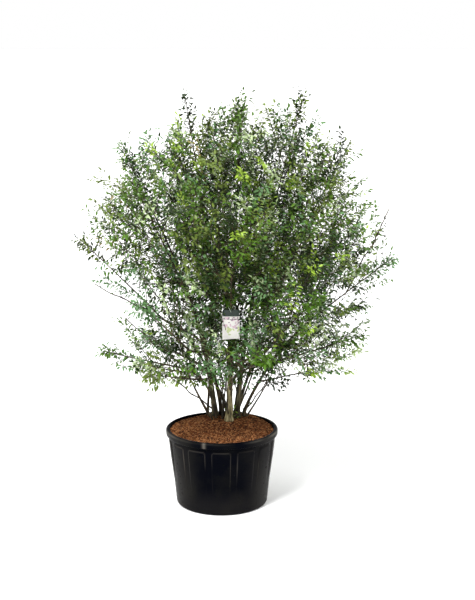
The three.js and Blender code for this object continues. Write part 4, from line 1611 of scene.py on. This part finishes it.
    def aside(self, run: Vector, turn: float, spread: float) -> Vector:
        """Returns a direction at an angle from a run, turned about it from the level."""
        level = self.level_across(run)
        other = level.cross(run)
        side = level * math.cos(turn) + other * math.sin(turn)
        return (side * math.sin(spread) + run * math.cos(spread)).normalized()

    @staticmethod
    def level_across(run: Vector) -> Vector:
        """Returns the level direction square to a run, or +X where the run is upright."""
        level = run.cross(UP)
        return level.normalized() if level.length > 1e-3 else Vector((1.0, 0.0, 0.0))

    def set_off(self, habit: Habit, start: Vector, run: Vector, turn: float) -> Vector:
        """Returns where a shoot of some kind sets off to from its parent."""
        direction = self.aside(run, turn, self.chance.uniform(*habit.spread)) + UP * habit.lift
        return (direction + self.crown.outward(start) * habit.fan_out).normalized()

    def sprout(self, habit: Habit, start: Vector, run: Vector, turn: float, reach: float
               ) -> list[Vector]:
        """Returns the line of a short shoot that needs no room to be found for it."""
        direction = self.aside(run, turn, self.chance.uniform(*habit.spread))
        length = reach * self.chance.uniform(*habit.lengths)
        return self.bent_line(start, direction, length, habit)

    def tone_of_spray(self, point: Vector) -> LeafTone:
        """Chooses a spray's green by where in the crown it is."""
        outer = self.crown.outer_share(point)
        low = eased(*self.low_from, point.z)
        # Hollows get more dark green as painted shade, lit patches more pale green as painted
        # highlight.
        hollow = eased(self.hollow, -self.hollow, self.density.unevenness(point))
        weights = [tone.weight(outer, low, hollow) for tone in LeafTone]
        return self.chance.choices(list(LeafTone), weights)[0]

    def add_leaf(self, tone: LeafTone, root: Vector, direction: Vector, size: float) -> None:
        """Adds a leaf, its face turned mostly to the light.

        Args:
            tone: Its green.
            root: Where its stalk begins.
            direction: Where it points.
            size: Its length.
        """
        droop = (direction + UP * self.chance.gauss(*self.leaf_droop)).normalized()
        across = self.level_across(droop)
        normal = across.cross(droop)
        roll = self.chance.gauss(0.0, self.leaf_roll)
        face = normal * math.cos(roll) + across * math.sin(roll)
        side = face.cross(droop)
        turn = Matrix((droop, side, face)).transposed().to_euler()
        self.leaves[tone].append((root, Vector(turn), size))
        self.density.add(root + droop * (size * 0.6))

    def dress(self, twig: Twig, first: float, tone: LeafTone, pitch: float) -> None:
        """Sets leaves alternately along a twig, and one at its end.

        Args:
            twig: The twig.
            first: The share of the twig where the leaves begin.
            tone: The spray's green.
            pitch: The distance from leaf to leaf.
        """
        count = max(2, round(twig.length() * (1.0 - first) / pitch))
        plane = self.chance.random() * math.pi
        for step in range(count):
            share = mix(first, 1.0, (step + 0.5 * self.chance.random()) / count)
            root, run = twig.point(share)
            turn = plane * 0.4 + math.pi * step + self.chance.gauss(0.0, self.leaf_swing)
            size = self.leaf_length * self.chance.uniform(*self.leaf_sizes)
            direction = self.aside(run, turn, self.chance.uniform(*self.leaf_angles))
            if not self.crown.view.hides(root + direction * size):
                self.add_leaf(tone, root, direction, size)
        root, run = twig.point(1.0)
        self.add_leaf(tone, root, run, self.leaf_length * self.chance.uniform(*self.end_leaf_sizes))

    def add_shoot(self, habit: Habit, line: list[Vector], tone: LeafTone, thick: float = 0.0
                  ) -> Twig:
        """Adds a leafy shoot or spur.

        Args:
            habit: The kind that it is of.
            line: Its line.
            tone: Its green.
            thick: The least radius of its root.

        Returns:
            The shoot or spur.
        """
        lines, end = (self.spur_lines, self.spur_end) if habit.spur else (self.shoot_lines, 1.0)
        shoot = Twig(line, max(thick, self.shoot_end * habit.root), self.shoot_end * end)
        lines.append(shoot)
        self.dress(shoot, habit.bare, tone, habit.pitch)
        return shoot

    def grow_shoots(self, number: int, parent: Twig, count: int, reach: float) -> None:
        """Grows leafy shoots along a twig, and spurs on the longer ones.

        Args:
            number: The mass's number.
            parent: The twig that they grow on.
            count: How many shoots it has room for.
            reach: The length of a shoot near the twig's root.
        """
        for step in range(count):
            share = mix(*self.shoot_places, (step + self.chance.random() * self.stagger) / count)
            start, run = parent.point(share)
            turn = GOLDEN_ANGLE * step + self.chance.gauss(0.0, self.shoot_swing)
            habit = WIDE_SHOOT if self.chance.random() < self.wide_share else SHOOT
            direction = self.set_off(habit, start, run, turn)
            length = reach * mix(1.0, self.shoot_tapers_off, share)
            length *= self.chance.uniform(*habit.lengths)
            line = self.grow_line(number, start, direction, length, habit)
            if line is None or self.density.crowded(line[1:]):
                continue
            tone = self.tone_of_spray(line[-1])
            shoot = self.add_shoot(habit, line, tone,
                                   mix(parent.root, parent.end, share) * self.shoot_root_share)
            self.grow_spurs(number, shoot, tone)
            if self.chance.random() < self.tuft_share:
                self.grow_tuft(shoot)

    def grow_spurs(self, number: int, shoot: Twig, tone: LeafTone) -> None:
        """Grows short leafy spurs on a shoot, in the shoot's own green."""
        if shoot.length() < self.spurs_from:
            return
        for step in range(self.spurs):
            share = mix(*self.spur_places, (step + self.chance.random()) / self.spurs)
            start, run = shoot.point(share)
            direction = self.set_off(SPUR, start, run, self.chance.random() * TURN)
            length = self.spur_reach * self.chance.uniform(*SPUR.lengths)
            line = self.grow_line(number, start, direction, length, SPUR)
            if line is not None and not self.density.crowded(line[1:]):
                self.add_shoot(SPUR, line, tone)

    def grow_tuft(self, shoot: Twig) -> None:
        """Grows a dense tuft of young leaves at a shoot's end."""
        start, run = shoot.point(1.0)
        tone = LeafTone.BRONZE if self.chance.random() < self.tuft_bronze else LeafTone.FRESH
        for _ in range(self.tuft_twigs):
            turn = self.chance.random() * TURN
            direction = self.aside(run, turn, self.chance.uniform(*TUFT.spread))
            line = self.bent_line(start, direction, TUFT.lengths[0], TUFT)
            self.add_shoot(TUFT, line, tone)

    def grow_mass(self, number: int) -> None:
        """Grows one mass from its leader."""
        leader = self.framework.masses[number].leader
        spine = leader.twig(self.spine_steps)
        self.side_lines.append(spine)
        for rank in range(self.side_twigs):
            along = mix(*self.side_places, rank / (self.side_twigs - 1))
            start, run = spine.point(along)
            spread = mix(*SIDE_TWIG.spread, along)
            face = leader.face(along, rank)
            swing = Matrix.Rotation(self.chance.gauss(0.0, self.side_swing), 3, run)
            direction = (swing @ face) * math.sin(spread) + run * math.cos(spread)
            direction += self.crown.outward(start) * mix(0.0, SIDE_TWIG.fan_out, along)
            length = self.side_reach * (1.0 - self.side_shortens * along)
            length *= self.chance.uniform(*SIDE_TWIG.lengths)
            line = self.grow_line(number, start, direction.normalized(), length, SIDE_TWIG)
            if line is None:
                continue
            twig = Twig(line, leader.radius_at(along) * self.side_root_share, self.side_end)
            self.side_lines.append(twig)
            count = max(3, round(self.shoots_per_metre * twig.length()))
            self.grow_shoots(number, twig, count, self.shoot_reach)
            self.dress(twig, SIDE_TWIG.bare, self.tone_of_spray(line[-1]), SIDE_TWIG.pitch)
        self.dress_leader(number, spine)

    def dress_leader(self, number: int, spine: Twig) -> None:
        """Sets short shoots and leaves on the outer half of a leader, up to its tip."""
        outer_points = self.spine_steps // 2
        outer = Twig(spine.points[-outer_points:], mix(spine.root, spine.end, 0.5), spine.end)
        tone = self.tone_of_spray(spine.points[-1])
        for step in range(self.leader_shoots):
            place = (step + 0.4 * self.chance.random()) / self.leader_shoots
            share = mix(*self.leader_places, place)
            start, run = outer.point(share)
            line = self.sprout(LEADER_SHOOT, start, run, GOLDEN_ANGLE * step,
                               mix(*self.leader_reach, share))
            tight = share < 0.5 and self.density.crowded(line[-1:])
            hides = self.crown.view.hides(line[-1])
            if self.crown.in_cell(number, line[-1]) and not hides and not tight:
                self.add_shoot(LEADER_SHOOT, line, tone)
        self.dress(outer, self.leader_bare, tone, self.leader_pitch)

    def grow_on_limb(self, limb: Limb) -> None:
        """Grows leafy shoots straight from a bough or stem, where it runs through the crown."""
        count = round(limb.path.length / self.limb_pitch)
        for step in range(count):
            share = (step + self.chance.random()) / count
            start, run = limb.path.point(share), limb.path.run(share)
            direction = self.set_off(LIMB_SHOOT, start, run, GOLDEN_ANGLE * step)
            length = self.limb_reach * self.chance.uniform(*LIMB_SHOOT.lengths)
            number = self.crown.nearest_mass(start + direction * length)
            line = self.grow_line(number, start, direction, length, LIMB_SHOOT)
            if line is None or self.density.crowded(line[2:]):
                continue
            tone = self.tone_of_spray(line[-1])
            self.grow_spurs(number, self.add_shoot(LIMB_SHOOT, line, tone), tone)

    def grow_suckers(self) -> None:
        """Grows thin young shoots from the soil between and around the stems."""
        for step in range(self.suckers):
            around = GOLDEN_ANGLE * step + self.sucker_turn
            out = Vector((math.cos(around), math.sin(around) * self.sucker_flat, 0.0))
            foot = Vector(self.sucker_middle) + out * mix(*self.sucker_ring, (step % 5) / 4.0)
            short = step % 3 == 2
            height = self.chance.uniform(*(self.sucker_short if short else self.sucker_tall))
            direction = (UP + out * self.chance.uniform(*self.sucker_lean)).normalized()
            line = self.bent_line(foot, direction, height, SUCKER)
            thick = SUCKER.root if short else self.chance.uniform(*self.sucker_thick)
            sucker = Twig(line, self.shoot_end * thick, self.shoot_end * (1.0 if short else 2.0))
            self.side_lines.append(sucker)
            if short:
                self.dress(sucker, SUCKER.bare, LeafTone.FRESH, SUCKER.pitch)
                continue
            self.grow_shoots(self.crown.nearest_mass(line[-1]), sucker, self.sucker_shoots,
                             self.sucker_reach)

    def grow_tips(self) -> None:
        """Grows a leafy shoot to each of the points that stand out of the crown's outline."""
        spots = [mass.leader.path.point(step / 10.0)
                 for mass in self.framework.masses for step in range(10)]
        for x, z in self.tips:
            tip = Vector((x, self.crown.middle_y, z))
            start = min(spots, key=lambda spot: self.strain(spot, tip))
            length = (tip - start).length - self.leaf_length
            direction = (tip - start - UP * (length * TIP_SHOOT.arch)).normalized()
            line = self.bent_line(start, direction, length, TIP_SHOOT)
            tone = self.tone_of_spray(tip)
            shoot = self.add_shoot(TIP_SHOOT, line, tone)
            for step in range(self.tip_spurs):
                spot, run = shoot.point(mix(*self.tip_places, step / (self.tip_spurs - 1)))
                line = self.sprout(TIP_SPUR, spot, run, GOLDEN_ANGLE * step, 1.0)
                self.add_shoot(TIP_SPUR, line, tone)

    def strain(self, spot: Vector, tip: Vector) -> float:
        """Returns how ill a place on a leader suits a shoot to a tip."""
        reach = tip - spot
        lean = 1.0 - reach.normalized().dot(self.crown.outward(spot))
        return abs(reach.length - self.tip_reach) + 0.5 * lean

    def grow_bare_twigs(self) -> None:
        """Grows a few long twigs without leaves that stand out of the crown's sides."""
        limbs = self.framework.stems | self.framework.boughs
        limbs |= {mass.name: mass.leader for mass in self.framework.masses}
        for name, share, end in self.bare_twigs:
            start = limbs[name].path.point(share)
            reach = Vector(end) - start
            length = reach.length * self.bare_length_share
            line = self.bent_line(start, reach.normalized(), length, BARE_TWIG)
            for step, point in enumerate(line[1:], start=1):
                sway = self.bare_sway * math.sin(math.pi * step / BARE_TWIG.steps)
                drift = [noise.noise(point * self.bare_sway_scale + UP * shift)
                         for shift in (0.0, 7.0, 14.0)]
                point += Vector(drift) * sway
            twig = Twig(line, *(self.shoot_end * thick for thick in self.bare_thick))
            self.side_lines.append(twig)
            for step in range(self.bare_spurs):
                place = (step + self.chance.random() * self.stagger) / self.bare_spurs
                spot, run = twig.point(mix(*self.bare_places, place))
                turn = math.pi * step + self.chance.gauss(0.0, self.shoot_swing)
                side = self.aside(run, turn, self.bare_spur_spread)
                length = self.chance.uniform(*BARE_SPUR.lengths)
                line = self.bent_line(spot, side, length, BARE_SPUR)
                self.spur_lines.append(
                    Twig(line, *(self.shoot_end * thick for thick in self.bare_spur_thick)))

    def blade_shape(self, width: float, fold: float, curl: float) -> Object:
        """Makes one leaf of unit length on its stalk: an oval blade, folded along its midrib.

        Args:
            width: The blade's width for each unit of length.
            fold: How far its sides stand up.
            curl: How far its tip bends down.

        Returns:
            The shape, which is taken away once it is used.
        """
        stalk, stalk_half, stalk_sink = 0.2, 0.012, -0.01
        points = [Vector((0.0, -stalk_half, 0.0)), Vector((0.0, stalk_half, 0.0)),
                  Vector((stalk, 0.0, stalk_sink))]
        rows = ((0.28, 1.0), (0.66, 0.8))
        for along, wide in rows:
            x = mix(stalk, 1.0, along)
            half = width / 2.0 * wide
            sink = -curl * along ** 2
            points.append(Vector((x, -half, sink + fold * half)))
            points.append(Vector((x, 0.0, sink)))
            points.append(Vector((x, half, sink + fold * half)))
        points.append(Vector((1.0, 0.0, -curl)))
        faces = [[0, 2, 1], [2, 3, 4], [2, 4, 5]]
        for row in range(len(rows) - 1):
            here = 3 + row * 3
            faces.append([here, here + 3, here + 4, here + 1])
            faces.append([here + 1, here + 4, here + 5, here + 2])
        last = 3 + (len(rows) - 1) * 3
        faces += [[last, len(points) - 1, last + 1], [last + 1, len(points) - 1, last + 2]]
        return mesh_piece("blade_shape", points, faces, [])

    def build(self) -> None:
        """Grows the whole crown and makes its pieces."""
        self.grow_tips()
        for number in range(len(self.framework.masses)):
            self.grow_mass(number)
        for limb in (self.framework.stems | self.framework.boughs).values():
            self.grow_on_limb(limb)
        self.grow_suckers()
        self.grow_bare_twigs()
        nodes = [f"foliage_{mass.name}" for mass in self.framework.masses]
        for name, lines, sides in (("twigs_side", self.side_lines, 5),
                                   ("twigs_shoots", self.shoot_lines, 3),
                                   ("twigs_spurs", self.spur_lines, 3)):
            settle(tubes(name, lines, sides, TWIG_BARK.material()), nodes)
        shapes = [self.blade_shape(*sizes) for sizes in self.blade_kinds]
        for tone, leaves in self.leaves.items():
            piece = scattered(tone.piece, leaves, shapes, LEAF.material(tone.piece, tone.colour),
                              self.seed)
            settle(piece, nodes)
        for shape in shapes:
            bpy.data.objects.remove(shape)
        log.info("%d leaves on %d shoots", sum(map(len, self.leaves.values())),
                 len(self.shoot_lines) + len(self.spur_lines))


# Label


@dataclass(frozen=True)
class Sheet:
    """A thin sheet that faces the front, with its lower left corner curled forward.

    Its top and its foot are heights over the eyelet.
    """

    name: str
    colour: Colour
    width: float
    top: float
    foot: float
    thickness: float
    curl: float = 0.0
    curl_reach: float = 0.55
    curl_narrows: float = 0.9
    curl_sinks: float = 0.4
    bow: float = 0.004
    columns: int = 12
    rows: int = 16

    def points(self) -> list[Vector]:
        """Returns the back layer's points and then the front layer's, row by row."""
        points = []
        for layer in (-0.5, 0.5):
            for row in range(self.rows + 1):
                for column in range(self.columns + 1):
                    across, up = column / self.columns, row / self.rows
                    corner = eased(self.curl_reach, 0.0, (across + up) * self.curl_narrows)
                    pull = corner * self.curl
                    bow = self.bow * math.sin(math.pi * across)
                    points.append(Vector((mix(-self.width / 2.0, self.width / 2.0, across),
                                          layer * self.thickness - pull - bow,
                                          mix(self.foot, self.top, up) - pull * self.curl_sinks)))
        return points

    def build(self, eyelet: Vector) -> None:
        """Makes the sheet, which hangs from the middle of the eyelet."""
        wide = self.columns + 1
        layer = (self.rows + 1) * wide
        faces = []
        for row in range(self.rows):
            for here in range(row * wide, row * wide + self.columns):
                above = here + wide
                faces.append([here, here + 1, above + 1, above])
                faces.append([layer + here, layer + above, layer + above + 1, layer + here + 1])
        last = layer - 1
        rim = [*range(self.columns), *range(self.columns, last, wide),
               *range(last, last - self.columns, -1), *range(layer - wide, 0, -wide)]
        for here, beside in zip(rim, rim[1:] + rim[:1]):
            faces.append([here, layer + here, layer + beside, beside])
        settle(mesh_piece(self.name, [eyelet + point for point in self.points()], faces,
                          [PRINTED_SHEET.material(self.name, self.colour)]),
               ["label_tag"])


@dataclass
class Label:
    """A plastic hang tag: a dark green head over a white card with a soft design, on a tie."""

    framework: Framework
    bough: str = "bough_upper_front"
    place: float = 0.975
    width: float = 0.104
    height: float = 0.136
    head_width: float = 0.098
    head: float = 0.040
    thickness: float = 0.0016
    card_curl: float = 0.010
    eyelet_radius: float = 0.0045
    eyelet_drop: float = 0.012
    eyelet_share: float = 0.9
    tie_radius: float = 0.0013
    tie_half_height: float = 0.036
    tie_half_width: float = 0.021
    tie_steps: int = 48
    tie_sides: int = 8
    gap: float = 0.0003
    view_margin: Pair = (0.012, 0.03)
    prints: tuple[tuple[str, Colour, Pair], ...] = (
        ("label_print_pink", srgb(224, 196, 208), (0.50, 0.95)),
        ("label_print_lilac", srgb(168, 146, 160), (0.42, 0.95)),
        ("label_print_green", srgb(206, 216, 158), (0.14, 0.50)))
    ovals: int = 15
    oval_sides: int = 14
    oval_lengths: Pair = (0.006, 0.013)
    oval_lift: float = 0.0004
    print_half: float = 0.42
    seed: int = 5

    def hook(self) -> Vector:
        """Returns the point over the bough that the tie's top goes through."""
        limb = self.framework.boughs[self.bough]
        point, run = limb.twig(limb.steps).point(self.place)
        lift = limb.radius_at(self.place) / math.hypot(run.x, run.y)
        return point + UP * (lift + self.tie_radius + self.gap)

    def eyelet(self) -> Vector:
        """Returns the middle of the eyelet."""
        drop = 2.0 * self.tie_half_height + self.tie_radius + self.gap
        return self.hook() - UP * (drop - self.eyelet_radius * self.eyelet_share)

    def view(self) -> TagView:
        """Returns the space that keeps the label in sight."""
        beside, above = self.view_margin
        half = (self.head + self.height) / 2.0
        return TagView(self.eyelet() + UP * (self.eyelet_drop - half),
                       self.width / 2.0 + beside, half + above)

    def tie_line(self) -> list[Vector]:
        """Returns the loop that crosses over the bough and goes through the eyelet."""
        centre = self.hook() - UP * self.tie_half_height
        line = []
        for step in range(self.tie_steps + 1):
            turn = TURN * step / self.tie_steps
            twist = (1.0 - math.cos(turn)) / 2.0 * math.pi / 2.0
            flat = math.sin(turn) * self.tie_half_width
            line.append(centre + Vector((math.cos(twist) * flat, math.sin(twist) * flat,
                                         math.cos(turn) * self.tie_half_height)))
        return line

    def print_card(self) -> None:
        """Lays a loose scatter of soft ovals over the card: pinks above, pale greens below."""
        chance = random.Random(self.seed)
        eyelet = self.eyelet()
        foot = self.eyelet_drop - self.head - self.height
        angles = [TURN * step / self.oval_sides for step in range(self.oval_sides)]
        for name, colour, heights in self.prints:
            points, faces = [], []
            for _ in range(self.ovals):
                x = chance.uniform(-self.print_half, self.print_half) * self.width
                z = foot + self.height * chance.uniform(*heights)
                length = chance.uniform(*self.oval_lengths)
                tilt = chance.uniform(0.0, math.pi)
                front = -self.thickness / 2.0 - self.oval_lift
                front -= Sheet.bow * math.cos(math.pi * x / self.width)
                faces.append(range(len(points), len(points) + self.oval_sides))
                for angle in angles:
                    across, along = math.cos(angle) * length, math.sin(angle) * length * 0.5
                    points.append(eyelet + Vector((
                        x + across * math.cos(tilt) - along * math.sin(tilt), front,
                        z + across * math.sin(tilt) + along * math.cos(tilt))))
            piece = mesh_piece(name, points, faces, [PRINTED_SHEET.material(name, colour)])
            settle(piece, ["label_tag"])

    def build(self) -> None:
        """Makes the tag, its design and the tie."""
        shoulder = self.eyelet_drop - self.head
        Sheet("label_head", srgb(28, 48, 40), self.head_width, self.eyelet_drop, shoulder,
              self.thickness).build(self.eyelet())
        Sheet("label_card", srgb(244, 240, 236), self.width, shoulder, shoulder - self.height,
              self.thickness, self.card_curl).build(self.eyelet())
        self.print_card()
        name = "label_loop"
        loop = Twig(self.tie_line(), self.tie_radius, self.tie_radius)
        material = PRINTED_SHEET.material(name, srgb(206, 224, 196))
        tie = tubes(name, [loop], self.tie_sides, material)
        settle(tie, ["label_tie"])


# Studio


@dataclass(frozen=True)
class Lamp:
    """One broad, soft lamp far off: where it stands, how wide it looks and how strong it is."""

    name: str
    heading: float
    height: float
    breadth: float
    strength: float
    away: float = 10.0

    def build(self) -> None:
        """Hangs the lamp."""
        light = bpy.data.lights.new(self.name, "SUN")
        light.angle = math.radians(self.breadth)
        light.energy = self.strength
        stand = bpy.data.objects.new(self.name, light)
        around, rise = math.radians(self.heading), math.radians(self.height)
        towards = Vector((math.cos(around) * math.cos(rise), math.sin(around) * math.cos(rise),
                          math.sin(rise)))
        stand.location = towards * self.away
        stand.rotation_euler = towards.to_track_quat("Z", "Y").to_euler()
        bpy.context.scene.collection.objects.link(stand)


@dataclass(frozen=True)
class Studio:
    """The camera at the photograph's angle, a plain pale floor and soft light."""

    eye: Triple = (0.098, -7.5, 2.8)
    pitch: float = 11.39
    lens: float = 75.0
    far: float = 4000.0
    floor_radius: float = 1500.0
    floor_sides: int = 96
    floor_colour: Colour = (0.98, 0.98, 0.98, 1.0)
    horizon: float = 1.0
    zenith: float = 0.30
    sky_fades: Pair = (0.06, 0.40)
    lamps: tuple[Lamp, ...] = (
        Lamp("key_lamp", 236.0, 52.0, 18.0, 4.1),
        Lamp("fill_lamp", 318.0, 40.0, 50.0, 1.5),
        Lamp("back_lamp", 75.0, 62.0, 40.0, 1.5),
    )

    def sky(self) -> World:
        """Returns a plain sky, pale near the horizon and dimmer above."""
        world = bpy.data.worlds.new("studio")
        world.use_nodes = True
        nodes, links = world.node_tree.nodes, world.node_tree.links
        split = nodes.new("ShaderNodeSeparateXYZ")
        links.new(nodes.new("ShaderNodeTexCoord").outputs["Generated"], split.inputs["Vector"])
        level = nodes.new("ShaderNodeMapRange")
        level.interpolation_type = "SMOOTHSTEP"
        set_range(level, self.sky_fades, (self.horizon, self.zenith))
        links.new(split.outputs["Z"], level.inputs["Value"])
        links.new(level.outputs["Result"], nodes["Background"].inputs["Strength"])
        nodes["Background"].inputs["Color"].default_value = (1.0, 1.0, 1.0, 1.0)
        return world

    def build(self) -> None:
        """Makes the camera, the floor, the sky and the lamps."""
        scene = bpy.context.scene
        scene.view_settings.view_transform = "Standard"
        camera = bpy.data.cameras.new("camera")
        camera.lens = self.lens
        camera.clip_end = self.far
        holder = bpy.data.objects.new("camera", camera)
        holder.location = self.eye
        holder.rotation_euler = (math.radians(90.0 - self.pitch), 0.0, 0.0)
        scene.collection.objects.link(holder)
        scene.camera = holder
        angles = [TURN * step / self.floor_sides for step in range(self.floor_sides)]
        ring = [Vector((math.cos(angle), math.sin(angle), 0.0)) * self.floor_radius
                for angle in angles]
        paint = Shade("floor_paint")
        paint.set(Base_Color=self.floor_colour, Roughness=0.9)
        mesh_piece("floor", ring, [range(self.floor_sides)], [paint.material])
        scene.world = self.sky()
        for lamp in self.lamps:
            lamp.build()


def main() -> None:
    """Builds the studio and then the plant, piece by piece."""
    logging.basicConfig(level=logging.INFO, format="%(name)s %(message)s")
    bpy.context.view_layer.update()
    Studio().build()
    pot = Pot()
    pot.build()
    Mulch(pot).build()
    framework = Framework()
    framework.build()
    BarkedLimbs(framework).build()
    label = Label(framework)
    label.build()
    crown = Crown(framework, label.view())
    Foliage(crown, Density(crown)).build()


if __name__ == "__main__":
    main()
